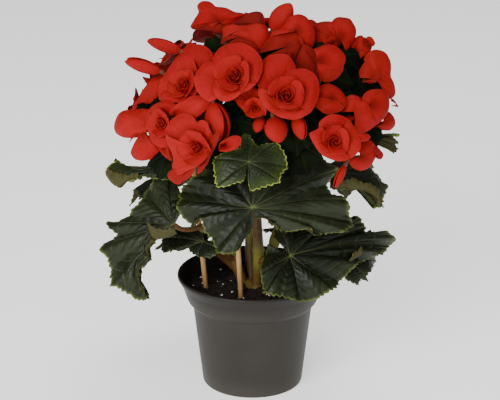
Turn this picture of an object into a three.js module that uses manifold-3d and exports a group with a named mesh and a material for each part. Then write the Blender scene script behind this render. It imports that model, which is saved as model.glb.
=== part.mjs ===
// A potted elatior begonia: a plastic nursery pot, its soil, two support canes and the plant,
// with every leaf blade, double bloom and bud as a piece of its own on one branching stem.
// Millimetres, +Z up, -Y to the front. The origin is the centre of the pot's flat foot.

import * as THREE from 'three';
import { mergeVertices } from 'three/addons/utils/BufferGeometryUtils.js';
import Module from 'manifold-3d';

const wasm = await Module();
wasm.setup();

// Driving dimensions
const GAP = 0.3; // left between pieces that touch
const POT = {
  rimRadius: 65, height: 100, wall: 1.6, sides: 24,
  footRadius: 43.5, shoulderRadius: 51.8, shoulderHeight: 73,
  bandLowRadius: 56.3, bandLowHeight: 77, lipRadius: 60.8, lipHeight: 90.5,
  padRadius: 27, channelRadius: 38, channelHeight: 3, floorThickness: 3,
  notches: 4, notchWidth: 14, notchDepth: 12, notchHeight: 4.5, notchTurn: -5, drainRadius: 3.6,
};
const SOIL = { level: 87, rings: 4, bump: 1, crownHole: 15.8, crownDepth: 16.5 };
const CROWN = { x: 2, y: -4, radius: 15.2, height: 9 };
const CANE = { radius: 2.3, taper: 0.3, sides: 7 };
const LEAF = { thickness: 0.8, sinusReach: 0.13 };
const LEAST_TURN = 0.04; // between two rays from a leaf's stalk to its drawn margin
const STALKS = { // radius at the start and at the end
  shoot: [5.4, 3.2], fork: [2.6, 2], leaf: [3, 2], bloom: [1.8, 1.5], bud: [1.5, 1.3],
};
const FORK_SWELLING = 3.6;
const FORK_START = 0.94; // how far along a shoot its forks leave it
const PETAL = { thickness: 0.8, roundness: 2.3, guardEdge: [0.32, 0.88], innerEdge: [0.36, 0.9] };
const INNER_PETALS = 2;
const GUARD_LAYER = 0.06; // from one drawn guard petal to the next, as a share of the radius
const BLOOM_DEPTH = 0.38; // from a bloom's root to the middle of its face, as a share of its radius

// Materials
const paint = (color, roughness) => new THREE.MeshStandardMaterial({ color, roughness, metalness: 0 });
const POT_PLASTIC = paint(0x4a453f, 0.55);
const PEAT = paint(0x1b1512, 0.95);
const CANE_WOOD = paint(0xb98a55, 0.7);
const STEM_FLESH = paint(0x7a5a2e, 0.5);
const LEAF_GREEN = paint(0x2c3a22, 0.4);
const PETAL_RED = paint(0xc42e22, 0.5);

// Random draws, the same on every run
function drawsFrom(seed) {
  let state = seed * 7919 + 17;
  return () => {
    state = (state * 16807) % 2147483647;
    return state / 2147483647;
  };
}

const degrees = THREE.MathUtils.degToRad;
const mix = THREE.MathUtils.lerp;
const spot = (x, y, z) => new THREE.Vector3(x, y, z);

// The direction that faces azimuth and elevation: 0, 0 is the front and 90, 0 the right.
function facing(azimuth, elevation) {
  const a = degrees(azimuth);
  const e = degrees(elevation);
  return spot(Math.sin(a) * Math.cos(e), -Math.cos(a) * Math.cos(e), Math.sin(e));
}

// Solids and geometries
function solidOf(geometry) {
  const bare = geometry.clone();
  bare.deleteAttribute('normal');
  bare.deleteAttribute('uv');
  const merged = mergeVertices(bare, 1e-4);
  return new wasm.Manifold(new wasm.Mesh({
    numProp: 3,
    vertProperties: new Float32Array(merged.attributes.position.array),
    triVerts: new Uint32Array(merged.index.array),
  }));
}

function geometryOf(solid) {
  const mesh = solid.getMesh();
  const geometry = new THREE.BufferGeometry();
  geometry.setAttribute('position', new THREE.BufferAttribute(mesh.vertProperties, 3));
  geometry.setIndex(new THREE.BufferAttribute(mesh.triVerts, 1));
  geometry.computeVertexNormals();
  return geometry;
}

const joined = (solids) => solids.reduce((all, next) => all.add(next));

function biggestBody(solid) {
  const bodies = solid.decompose();
  return bodies.reduce((best, next) => (next.volume() > best.volume() ? next : best));
}

// A closed thin sheet: the points of an open surface moved half the thickness to each side.
function thinSheet(points, faces, rim, thickness, upright) {
  const normals = points.map(() => spot(0, 0, 0));
  for (const [a, b, c] of faces) {
    const across = points[b].clone().sub(points[a]).cross(points[c].clone().sub(points[a]));
    for (const i of [a, b, c]) normals[i].add(across);
  }
  const count = points.length;
  const half = thickness / 2;
  const shifted = (side) => points.map((p, i) => (
    p.clone().addScaledVector(upright ?? normals[i].clone().normalize(), side * half)));
  const corners = [...shifted(1), ...shifted(-1)];
  const index = [];
  for (const [a, b, c] of faces) index.push(a, b, c, c + count, b + count, a + count);
  rim.forEach((i, k) => {
    const j = rim[(k + 1) % rim.length];
    index.push(j, i, i + count, j, i + count, j + count);
  });
  const geometry = new THREE.BufferGeometry().setFromPoints(corners);
  geometry.setIndex(index);
  return geometry;
}

// A round bar with closed ends along a curve, its radius running from one end to the other.
function taperedBar(curve, startRadius, endRadius, steps, sides) {
  const frames = curve.computeFrenetFrames(steps, false);
  const corners = [];
  const index = [];
  for (let i = 0; i <= steps; i += 1) {
    const centre = curve.getPointAt(i / steps);
    const radius = mix(startRadius, endRadius, i / steps);
    for (let k = 0; k < sides; k += 1) {
      const turn = (2 * Math.PI * k) / sides;
      corners.push(centre.clone()
        .addScaledVector(frames.normals[i], radius * Math.cos(turn))
        .addScaledVector(frames.binormals[i], radius * Math.sin(turn)));
    }
  }
  for (let i = 0; i < steps; i += 1) {
    for (let k = 0; k < sides; k += 1) {
      const a = i * sides + k;
      const b = i * sides + ((k + 1) % sides);
      index.push(a, b, b + sides, a, b + sides, a + sides);
    }
  }
  const last = steps * sides;
  for (let k = 1; k < sides - 1; k += 1) {
    index.push(0, k + 1, k, last, last + k, last + k + 1);
  }
  const geometry = new THREE.BufferGeometry().setFromPoints(corners);
  geometry.setIndex(index);
  return geometry;
}

function turned(profile, sides) {
  const lathe = new THREE.LatheGeometry(profile.map(([r, z]) => new THREE.Vector2(r, z)), sides);
  return lathe.rotateX(Math.PI / 2);
}

// The pot: a tapered cup with a flared band under a lip, and a foot ring round a raised channel
function makePot() {
  const p = POT;
  const floorTop = p.floorThickness;
  const outside = [
    [0, 0], [p.padRadius, 0], [p.padRadius + 2, p.channelHeight], [p.channelRadius, p.channelHeight],
    [p.channelRadius + 1.5, 0], [p.footRadius - 1, 0], [p.footRadius, 1.5],
    [p.shoulderRadius, p.shoulderHeight], [p.shoulderRadius + 1.8, p.shoulderHeight + 1],
    [p.bandLowRadius, p.bandLowHeight], [p.lipRadius, p.lipHeight],
    [p.rimRadius, p.height - 2.2], [p.rimRadius - 0.6, p.height],
  ];
  const inside = [
    [p.rimRadius - 2.4, p.height - 0.3], [p.lipRadius - p.wall, p.lipHeight],
    [p.bandLowRadius - p.wall, p.bandLowHeight + 1], [p.shoulderRadius - p.wall, p.shoulderHeight],
    [p.footRadius - p.wall, floorTop + p.channelHeight], [p.padRadius + 1, floorTop + p.channelHeight],
    [p.padRadius - 1, floorTop], [0, floorTop],
  ];
  let pot = solidOf(turned([...outside, ...inside], p.sides));
  for (let k = 0; k < p.notches; k += 1) {
    const turn = p.notchTurn + (360 * k) / p.notches;
    const notchAt = facing(turn, 0).multiplyScalar(p.channelRadius + 0.5 + p.notchDepth / 2);
    const notch = new THREE.BoxGeometry(p.notchWidth, p.notchDepth, 2 * p.notchHeight);
    pot = pot.subtract(solidOf(notch.rotateZ(degrees(turn)).translate(notchAt.x, notchAt.y, 0)));
    const channelMiddle = (p.padRadius + 2 + p.channelRadius) / 2;
    const drainAt = facing(turn + 180 / p.notches, 0).multiplyScalar(channelMiddle);
    const drain = new THREE.CylinderGeometry(p.drainRadius, p.drainRadius, 20, 10).rotateX(Math.PI / 2);
    pot = pot.subtract(solidOf(drain.translate(drainAt.x, drainAt.y, 0)));
  }
  return pot;
}

// The soil: it fills the pot to a lumpy top, with plain holes for the crown and the canes
function potInside(height) {
  const p = POT;
  const foot = p.footRadius - p.wall;
  const top = p.shoulderRadius - p.wall;
  if (height <= p.shoulderHeight) {
    const start = p.floorThickness + p.channelHeight;
    return mix(foot, top, (height - start) / (p.shoulderHeight - start));
  }
  return mix(p.bandLowRadius - p.wall, p.lipRadius - p.wall,
    (height - p.bandLowHeight) / (p.lipHeight - p.bandLowHeight));
}

function soilHeight(x, y) {
  const lumps = Math.sin(x * 0.31 + 1) * Math.cos(y * 0.27) + 0.6 * Math.sin(x * 0.13 - y * 0.44);
  return SOIL.level + SOIL.bump * lumps;
}

function makeSoil(canes) {
  const sides = POT.sides;
  const heights = [SOIL.level, POT.shoulderHeight, POT.floorThickness + POT.channelHeight + GAP];
  const wallRadius = (height) => potInside(height) - 2 * GAP;
  const corners = [spot(0, 0, soilHeight(0, 0))];
  const addRing = (radius, heightAt) => {
    for (let k = 0; k < sides; k += 1) {
      const turn = (2 * Math.PI * k) / sides;
      const [x, y] = [radius * Math.cos(turn), radius * Math.sin(turn)];
      corners.push(spot(x, y, heightAt(x, y)));
    }
  };
  for (let r = 1; r < SOIL.rings; r += 1) addRing((wallRadius(SOIL.level) * r) / SOIL.rings, soilHeight);
  for (const height of heights) addRing(wallRadius(height), () => height);
  corners.push(spot(0, 0, heights[2]));
  const rings = SOIL.rings + 2;
  const index = [];
  for (let k = 0; k < sides; k += 1) {
    const next = (k + 1) % sides;
    index.push(0, 1 + k, 1 + next);
    for (let r = 0; r < rings - 1; r += 1) {
      const [a, b] = [1 + r * sides, 1 + (r + 1) * sides];
      index.push(a + k, b + k, b + next, a + k, b + next, a + next);
    }
    const last = 1 + (rings - 1) * sides;
    index.push(corners.length - 1, last + next, last + k);
  }
  const geometry = new THREE.BufferGeometry().setFromPoints(corners);
  geometry.setIndex(index);
  let soil = solidOf(geometry);
  const hole = new THREE.CylinderGeometry(SOIL.crownHole, SOIL.crownHole, 2 * SOIL.crownDepth, 16);
  soil = soil.subtract(solidOf(hole.rotateX(Math.PI / 2).translate(CROWN.x, CROWN.y, SOIL.level)));
  for (const cane of canes) soil = soil.subtract(solidOf(caneBar(cane, GAP)));
  return soil;
}

// The canes: straight thin sticks pushed into the soil
const CANES = {
  cane_left: { foot: spot(-36, -6, 40), head: spot(-54, 4, 236) },
  cane_front: { foot: spot(-7, -30, 40), head: spot(-18, -14, 232) },
};

function caneBar({ foot, head }, grow) {
  const run = head.clone().sub(foot).normalize();
  const ends = [foot.clone().addScaledVector(run, -grow), head.clone().addScaledVector(run, grow)];
  const radius = CANE.radius + grow;
  return taperedBar(new THREE.LineCurve3(...ends), radius, radius - CANE.taper, 1, CANE.sides);
}

// A petal in its bloom's frame, where +Z is the way the bloom faces. along runs from the claw
// to the tip and across from edge to edge. The centre line leans out more and more, the edges
// cup up, and roll lifts one edge over the next petal all round the bloom.
const BELLY = 0.56;

function petalPoint(p, along, across) {
  const lean = mix(p.leanBase, p.leanTip, along);
  const bend = p.leanTip - p.leanBase;
  const radial = p.root + (p.length * (Math.cos(p.leanBase) - Math.cos(lean))) / bend;
  const axial = p.lift + (p.length * (Math.sin(lean) - Math.sin(p.leanBase))) / bend;
  const swell = Math.min(along / BELLY, 1);
  const round = Math.max(along - BELLY, 0) / (1 - BELLY);
  const claw = mix(0.1, 1, swell * swell * (3 - 2 * swell));
  const halfWidth = p.halfWidth * claw * Math.sqrt(1 - round ** PETAL.roundness);
  const side = across * halfWidth;
  const rise = p.cup * halfWidth * across * across + mix(p.roll, p.roll / 3, along) * side;
  return spot(radial - Math.cos(lean) * rise, side, axial + Math.sin(lean) * rise);
}

function petalSolid(p, grow) {
  const grown = { ...p, halfWidth: p.halfWidth + grow, length: p.length + grow };
  const edge = p.stations.map((along) => petalPoint(grown, along, 1));
  edge.push(...p.stations.map((along) => petalPoint(grown, along, -1)).reverse());
  const claw = petalPoint(grown, 0, 0);
  const last = edge.length;
  const ring = edge.map((_, k) => k + 1);
  const faces = ring.map((i, k) => [0, i, ring[(k + 1) % last]]);
  faces.push([last + 1, 1, last]);
  const sheet = thinSheet([petalPoint(grown, BELLY, 0), ...edge, claw], faces, [...ring, last + 1],
    PETAL.thickness + 2 * grow);
  return solidOf(sheet.rotateZ(p.turn));
}

// Guard petals: drawn one by one for the blooms in front, evenly spread for the others
function drawnGuards({ radius, open, seed }) {
  return GUARDS[seed].map(([turn, length, halfWidth], k) => ({
    turn: degrees(turn),
    lift: GUARD_LAYER * (k + 1) * radius,
    length: length * radius,
    halfWidth: halfWidth * radius * mix(0.5, 1, open),
    leanBase: degrees(mix(20, 40, open)),
    leanTip: degrees(mix(50, 97 - 3 * k, open)),
    cup: 0.05,
    roll: 0.04,
  }));
}

function evenGuards({ radius, open, guards }, draw) {
  return Array.from({ length: guards }, (_, k) => ({
    turn: degrees((360 * (k + 0.5)) / guards + 8 * (draw() - 0.5)),
    lift: 0.13 * radius,
    length: radius * (1 + 0.1 * (draw() - 0.5)),
    halfWidth: 0.78 * radius * mix(0.3, 1, open) * (1 + 0.1 * (draw() - 0.5)),
    leanBase: degrees(mix(10, 40, open)),
    leanTip: degrees(mix(30, 94, open) + 8 * (draw() - 0.5)),
    cup: 0.14,
    roll: 0.5,
  }));
}

// The petals of a double bloom: wide guard petals and two closer ones inside them
function whorls(bloom) {
  const { radius, open, guards, seed } = bloom;
  const draw = drawsFrom(seed);
  const outer = GUARDS[seed] ? drawnGuards(bloom) : evenGuards(bloom, draw);
  const petals = outer.map((petal) => ({ ...petal, root: 0.1 * radius, stations: PETAL.guardEdge }));
  for (let k = 0; k < INNER_PETALS; k += 1) {
    petals.push({
      turn: degrees((360 * (k + 0.5)) / INNER_PETALS + 10 * (draw() - 0.5)),
      root: 0.09 * radius,
      lift: 0.35 * radius,
      length: 0.6 * radius,
      halfWidth: 0.36 * radius,
      leanBase: degrees(mix(4, 24, open)),
      leanTip: degrees(mix(16, 60, open)),
      cup: 0.3,
      roll: 0.4,
      stations: PETAL.innerEdge,
    });
  }
  return petals;
}

// The heart: the petals' common base, drawn up to the furled tip in the middle of the bloom
function heartSolid({ radius: r, guards }, grow) {
  const outline = [
    [0, -grow], [0.1 * r + grow, -grow], [0.2 * r + grow, 0.28 * r],
    [0.1 * r + grow, 0.55 * r], [0, 0.66 * r + grow],
  ];
  return solidOf(turned(outline, guards));
}

function bloomSolid(bloom, grow) {
  return joined([heartSolid(bloom, grow), ...whorls(bloom).map((petal) => petalSolid(petal, grow))]);
}

// A closed bud: two long petals pressed flat together, +Z from its stalk to its tip
function budSolid({ length, width }, grow) {
  const almond = new THREE.SphereGeometry(1, 6, 4).rotateX(Math.PI / 2);
  almond.scale(width / 2 + grow, width * 0.3 + grow, length / 2 + grow).translate(0, 0, length / 2);
  return solidOf(almond);
}

// A lobed leaf in its own frame: the stalk joins at the origin, +X is the midrib and +Z the upper face
const LOBES = [
  { angle: -128, reach: 0.66 }, { angle: -84, reach: 0.9 }, { angle: -40, reach: 0.93 },
  { angle: 0, reach: 1 },
  { angle: 42, reach: 0.9 }, { angle: 86, reach: 0.86 }, { angle: 130, reach: 0.62 },
];
const VALLEY = 0.16; // how far the edge falls back between two lobes
const TOOTH = 0.035;
const WAVES = 3.1;
const WAVE_HEIGHT = 0.035;

function leafReach(leaf, angle) {
  const last = LOBES.length - 1;
  if (angle < LOBES[0].angle || angle > LOBES[last].angle) {
    const lobe = LOBES[angle < 0 ? 0 : last];
    const back = (Math.abs(angle) - Math.abs(lobe.angle)) / (180 - Math.abs(lobe.angle));
    return leaf.size * mix(lobe.reach, LEAF.sinusReach, back ** 1.7);
  }
  const k = Math.min(LOBES.findLastIndex((lobe) => lobe.angle <= angle), last - 1);
  const t = (angle - LOBES[k].angle) / (LOBES[k + 1].angle - LOBES[k].angle);
  const reach = mix(LOBES[k].reach, LOBES[k + 1].reach, t);
  return leaf.size * reach * (1 - VALLEY * Math.sin(Math.PI * t) ** 0.8);
}

// Bends the flat leaf: droop along the midrib, curl across it and a waved edge
function leafPoint(leaf, angle, share, tooth) {
  const reach = leafReach(leaf, angle) * share * (1 + tooth);
  const x = reach * Math.cos(degrees(angle));
  const y = reach * Math.sin(degrees(angle));
  const arc = (s, total) => {
    const k = total / leaf.size;
    return [Math.sin(k * s) / k, -(1 - Math.cos(k * s)) / k];
  };
  const [bx, dropX] = arc(x, degrees(leaf.droop));
  const [by, dropY] = arc(y, degrees(leaf.curl));
  const wave = WAVE_HEIGHT * leaf.size * share * share * Math.sin(degrees(angle * WAVES) + leaf.phase);
  return spot(bx, by, dropX + dropY + wave);
}

function leafAngles() {
  const angles = [];
  LOBES.forEach((lobe, k) => {
    angles.push([lobe.angle, TOOTH]);
    const next = LOBES[k + 1];
    if (!next) return;
    angles.push([mix(lobe.angle, next.angle, 0.32), TOOTH]);
    angles.push([mix(lobe.angle, next.angle, 0.6), -TOOTH]);
  });
  return [[-176, 0], [-160, 0], [-145, TOOTH], ...angles, [146, TOOTH], [161, 0], [176, 0]];
}

function leafSolid(leaf, grow) {
  const around = leafAngles();
  const inner = around.filter((_, k) => k % 2 === 0);
  const points = [leafPoint(leaf, 0, 0, 0)];
  for (const [angle] of inner) points.push(leafPoint(leaf, angle, 0.5, 0));
  const first = points.length;
  for (const [angle, tooth] of around) points.push(leafPoint(leaf, angle, 1 + grow / leaf.size, tooth));
  const faces = [];
  for (let k = 0; k < inner.length - 1; k += 1) {
    const [a, b, outer] = [1 + k, 2 + k, first + 2 * k];
    faces.push([0, a, b], [a, outer, outer + 1], [a, outer + 1, b], [b, outer + 1, outer + 2]);
  }
  const edge = around.map((_, k) => first + k);
  const rim = [0, 1, ...edge, inner.length];
  return solidOf(thinSheet(points, faces, rim, LEAF.thickness + 2 * grow));
}

// The rays from a leaf's stalk to its margin. Each is turned on past the one before it where the
// drawn margin laps back over the blade, so that the solid never crosses itself
function spreadRays(drawn, square) {
  const right = spot(0, 0, 1).cross(square).normalize();
  const ahead = square.clone().cross(right);
  let turned = -Infinity;
  return drawn.map((ray) => {
    const [a, b] = [ray.dot(right), ray.dot(ahead)];
    let turn = Math.atan2(b, a);
    if (turned > -Infinity) {
      turn += 2 * Math.PI * Math.round((turned - turn) / (2 * Math.PI));
      turn = Math.max(turn, turned + LEAST_TURN);
    }
    turned = turn;
    return square.clone().multiplyScalar(ray.dot(square))
      .addScaledVector(right, Math.hypot(a, b) * Math.cos(turn))
      .addScaledVector(ahead, Math.hypot(a, b) * Math.sin(turn));
  });
}

// A leaf whose edge is drawn point by point: a fan of two rings round the point of its stalk. Each
// ray from there arches over before it drops to the edge.
function drawnLeafSolid(leaf, grow) {
  const upper = facing(...leaf.faces);
  const drawn = leaf.edge.map(([x, y, z]) => spot(x, y, z).sub(leaf.at));
  const square = spot(0, 0, 0); // the way that the drawn blade faces on the whole
  drawn.slice(1).forEach((ray, k) => square.add(drawn[k].clone().cross(ray)));
  square.normalize();
  const rays = spreadRays(drawn, square);
  const inner = rays.map((_, k) => k).filter((k) => k % 2 === 0 || k === rays.length - 1);
  const points = [spot(0, 0, 0)];
  for (const k of inner) {
    const drop = Math.max(-rays[k].dot(upper), 0);
    points.push(rays[k].clone().multiplyScalar(0.5).addScaledVector(upper, drop / 4));
  }
  const first = points.length;
  for (const ray of rays) points.push(ray.clone().setLength(ray.length() + grow));
  const faces = [];
  inner.slice(1).forEach((next, k) => {
    const [a, b, last] = [1 + k, 2 + k, first + next];
    faces.push([0, a, b], [a, first + inner[k], first + inner[k] + 1]);
    if (next - inner[k] > 1) faces.push([a, last - 1, b], [b, last - 1, last]);
    else faces.push([a, last, b]);
  });
  const rim = [0, 1, ...rays.map((_, k) => first + k), inner.length];
  return solidOf(thinSheet(points, faces, rim, LEAF.thickness + 2 * grow, square));
}

// The leaves that show from the front. at: the point where the stalk joins; faces: the azimuth and
// elevation of the upper side there; edge: x, y and z of the margin, anticlockwise seen from above
// the leaf, and 1 where a main vein ends; arrive: the way the stalk reaches the leaf
const DRAWN_LEAVES = {
  leaf_centre_big: {
    at: [0, -66, 182], faces: [0, 32], edge: [
      [3, -71, 174, 0], [10, -70, 174, 0], [17, -71, 170, 0], [25, -72, 164, 0], [43, -67, 163, 0],
      [51, -65, 158, 0], [62, -59, 157, 0], [75, -51, 157, 0], [86, -40, 159, 1], [81, -40, 167, 0],
      [75, -37, 179, 1], [69, -37, 184, 0], [64, -36, 190, 0], [69, -22, 199, 1], [59, -16, 210, 0],
      [47, -13, 218, 1], [23, -25, 219, 0], [1, -19, 225, 1], [-13, -31, 216, 0], [-32, -30, 213, 1],
      [-37, -39, 204, 0], [-62, -40, 187, 0], [-59, -47, 181, 1], [-60, -49, 177, 0],
      [-57, -55, 170, 0], [-50, -62, 165, 1], [-42, -62, 172, 0], [-38, -69, 162, 0],
      [-33, -73, 154, 0], [-30, -76, 148, 1], [-21, -78, 147, 0], [-13, -79, 149, 0], [-9, -78, 155, 0],
      [-4, -76, 160, 0], [0, -74, 167, 0],
    ],
  },
  leaf_centre_small: {
    at: [-3, -80, 226], faces: [4, 36], edge: [
      [-4, -86, 216, 0], [-3, -89, 210, 0], [-2, -91, 205, 1], [8, -88, 207, 0], [21, -83, 210, 1],
      [22, -80, 214, 0], [29, -73, 219, 1], [25, -68, 229, 0], [19, -64, 236, 1], [12, -66, 237, 0],
      [3, -69, 237, 0], [1, -68, 239, 0], [-4, -61, 244, 1], [-10, -63, 243, 0], [-10, -72, 236, 0],
      [-22, -74, 232, 0], [-31, -75, 226, 1], [-31, -81, 217, 0], [-29, -87, 207, 1],
      [-21, -88, 208, 0], [-13, -88, 211, 0], [-8, -88, 212, 0], [-6, -86, 217, 0],
    ],
  },
  leaf_right_low: {
    at: [31, -52, 135], faces: [8, 42], edge: [
      [13, -45, 143, 0], [8, -56, 131, 0], [7, -63, 121, 1], [8, -67, 115, 0], [10, -70, 109, 1],
      [21, -72, 107, 0], [39, -72, 102, 1], [52, -69, 103, 0], [59, -65, 106, 0], [65, -61, 108, 1],
      [73, -55, 110, 0], [76, -52, 114, 0], [89, -36, 122, 0], [100, -24, 122, 0], [110, -12, 123, 0],
      [118, -1, 123, 0], [122, 9, 124, 1], [117, 8, 129, 0], [106, 3, 137, 0], [97, -3, 140, 0],
      [89, -3, 147, 0], [73, -9, 153, 1], [57, -21, 154, 0], [41, -19, 159, 1], [30, -27, 156, 0],
      [20, -28, 156, 1], [18, -39, 149, 0],
    ],
  },
  leaf_left_big: {
    at: [-65, -46, 160], faces: [-24, 35], arrive: [-0.57, -0.48, 0.66], edge: [
      [-63, -44, 163, 0], [-57, -37, 175, 1], [-62, -25, 185, 0], [-70, -13, 191, 1],
      [-81, -10, 188, 0], [-92, -14, 178, 1], [-91, -19, 173, 0], [-101, -21, 163, 0],
      [-122, -15, 149, 1], [-119, -20, 147, 0], [-115, -26, 144, 0], [-124, -23, 136, 0],
      [-128, -24, 130, 1], [-122, -32, 126, 0], [-121, -39, 114, 0], [-117, -46, 106, 1],
      [-111, -51, 106, 0], [-105, -56, 103, 0], [-98, -62, 100, 0], [-86, -67, 102, 1],
      [-91, -62, 110, 0], [-94, -58, 115, 0], [-93, -54, 125, 0], [-89, -55, 126, 0],
      [-85, -54, 133, 1], [-87, -50, 138, 0], [-84, -48, 144, 0], [-82, -47, 147, 0],
      [-75, -49, 149, 0], [-64, -51, 153, 0],
    ],
  },
  leaf_left_folded: {
    at: [-68, -24, 201], faces: [-20, 48], edge: [
      [-67, -17, 206, 0], [-79, -8, 210, 1], [-87, -11, 205, 0], [-89, -13, 202, 0], [-94, -16, 198, 0],
      [-106, -8, 199, 0], [-116, 0, 200, 1], [-121, 0, 197, 1], [-122, -7, 191, 0], [-117, -17, 186, 0],
      [-111, -22, 185, 1], [-104, -20, 190, 0], [-95, -21, 193, 0], [-81, -26, 194, 0],
      [-68, -32, 194, 1],
    ],
  },
  leaf_left_low: {
    at: [-42, -24, 137], faces: [-24, 40], edge: [
      [-42, -19, 143, 0], [-51, -11, 145, 0], [-65, -5, 141, 1], [-78, -2, 132, 1], [-78, -11, 124, 0],
      [-74, -15, 123, 1], [-69, -17, 127, 0], [-63, -21, 127, 0], [-55, -23, 131, 1],
      [-53, -26, 129, 0], [-45, -32, 126, 1], [-34, -36, 127, 0], [-28, -33, 133, 1],
      [-33, -26, 139, 0],
    ],
  },
  leaf_right_mid: {
    at: [70, -14, 195], faces: [28, 46], edge: [
      [65, -21, 191, 0], [66, -26, 185, 0], [72, -25, 183, 1], [88, -16, 180, 0], [100, -9, 173, 0],
      [106, -8, 165, 0], [104, -12, 163, 1], [113, -1, 160, 1], [111, 2, 167, 0], [114, 13, 173, 1],
      [110, 16, 181, 0], [105, 19, 188, 1], [95, 16, 196, 0], [85, 13, 203, 1], [74, 0, 203, 0],
      [65, -9, 201, 1],
    ],
  },
  leaf_right_far: {
    at: [82, -34, 122], faces: [40, 42], edge: [
      [77, -42, 118, 0], [77, -47, 112, 1], [84, -45, 107, 0], [89, -43, 105, 1], [92, -37, 108, 0],
      [98, -33, 104, 1], [96, -33, 109, 0], [99, -27, 111, 0], [107, -5, 112, 1], [104, -3, 117, 0],
      [104, 6, 118, 0], [96, -2, 126, 1], [84, -20, 130, 0], [77, -32, 127, 0],
    ],
  },
  leaf_right_high: {
    at: [97, -6, 223], faces: [36, 50], edge: [
      [95, -1, 227, 0], [101, 5, 227, 1], [109, 9, 225, 0], [109, 7, 223, 0], [118, 14, 219, 0],
      [124, 21, 217, 1], [119, 13, 218, 0], [122, 8, 214, 1], [120, 6, 213, 0], [124, 5, 210, 1],
      [121, -1, 209, 1], [111, -6, 214, 0], [102, -9, 218, 1], [96, -11, 219, 0],
    ],
  },
};

// The other leaves share one pattern of lobes, with the midrib straight downhill
const LOBED_LEAVES = {
  leaf_back_left: { at: [-58, 56, 176], faces: [-136, 72], size: 68, droop: 60, curl: 30 },
  leaf_back: { at: [-4, 72, 152], faces: [184, 70], size: 74, droop: 60, curl: 34 },
  leaf_back_right: { at: [58, 58, 182], faces: [138, 72], size: 64, droop: 60, curl: 30 },
  leaf_back_low: { at: [38, 50, 118], faces: [140, 76], size: 46, droop: 30, curl: 30 },
  leaf_back_low_left: { at: [-44, 46, 122], faces: [-130, 76], size: 50, droop: 34, curl: 30 },
};
const LEAVES = { ...DRAWN_LEAVES, ...LOBED_LEAVES };
Object.values(LEAVES).forEach((leaf, k) => {
  leaf.at = spot(...leaf.at);
  leaf.arrive = leaf.arrive ? spot(...leaf.arrive).normalize() : facing(...leaf.faces);
  leaf.phase = 1.7 * k;
});

// Guard petals of the blooms in front, from the back one to the foremost: the turn in degrees,
// and the length and half width as shares of the radius
const GUARDS = {
  1: [[41, 0.92, 0.5], [-129, 1.4, 0.46], [-168, 1.11, 0.6], [-26, 0.66, 0.5], [117, 0.95, 0.72],
    [-105, 1.3, 0.5]],
  2: [[104, 1.05, 0.78], [-169, 1.16, 0.62], [22, 0.85, 0.62], [-48, 0.78, 0.5], [-104, 0.78, 0.56]],
  3: [[99, 1.36, 0.72], [169, 0.82, 0.6], [-91, 0.72, 0.84], [13, 1.03, 0.8]],
  4: [[84, 0.96, 0.7], [161, 0.96, 0.5], [-142, 0.74, 0.52], [-4, 0.98, 0.68], [-74, 0.78, 0.72]],
  5: [[134, 0.96, 0.6], [48, 0.6, 0.6], [171, 0.94, 0.6], [-100, 0.6, 0.72]],
  6: [[86, 1.4, 0.52], [44, 0.7, 0.6], [165, 1.2, 0.62], [114, 1.55, 0.74], [-146, 1, 0.56],
    [-70, 0.66, 0.6]],
  7: [[63, 1.2, 0.5], [-16, 1.2, 0.5], [130, 1, 0.55], [-63, 1, 0.55], [-179, 1.08, 0.58]],
  8: [[158, 1.5, 0.66], [35, 1.9, 0.62], [-150, 1.19, 0.6], [-44, 1.2, 0.56], [-100, 1.2, 0.6]],
  10: [[172, 0.9, 0.6], [51, 0.9, 0.7], [-80, 0.7, 0.66]],
  13: [[-171, 0.85, 0.62], [-11, 0.85, 0.62], [-102, 0.8, 0.6], [77, 0.8, 0.74]],
  14: [[79, 0.85, 0.64], [18, 1.19, 0.66], [-159, 0.75, 0.58], [-39, 1, 0.68]],
  15: [[-118, 0.9, 0.5], [-44, 0.98, 0.55], [6, 1.07, 0.6], [166, 0.85, 0.56], [83, 0.85, 0.66]],
  16: [[93, 0.92, 0.6], [-156, 0.7, 0.6], [-8, 0.85, 0.66]],
  17: [[119, 1.1, 0.6], [-20, 1.3, 0.46], [178, 1.16, 0.55], [-78, 0.9, 0.68]],
  19: [[145, 1.4, 0.56], [37, 1.13, 0.56], [-7, 0.8, 0.55], [-160, 1, 0.52], [-80, 0.8, 0.6]],
  20: [[51, 0.85, 0.6], [165, 0.9, 0.6], [-9, 0.9, 0.6], [95, 0.85, 0.6], [-78, 0.75, 0.66]],
  21: [[77, 1, 0.7], [3, 0.9, 0.6], [-164, 1, 0.66], [-99, 1.09, 0.62]],
  22: [[9, 0.85, 0.56], [169, 1.03, 0.52], [56, 1.11, 0.6], [110, 1, 0.6], [-124, 1.1, 0.62]],
};

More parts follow.
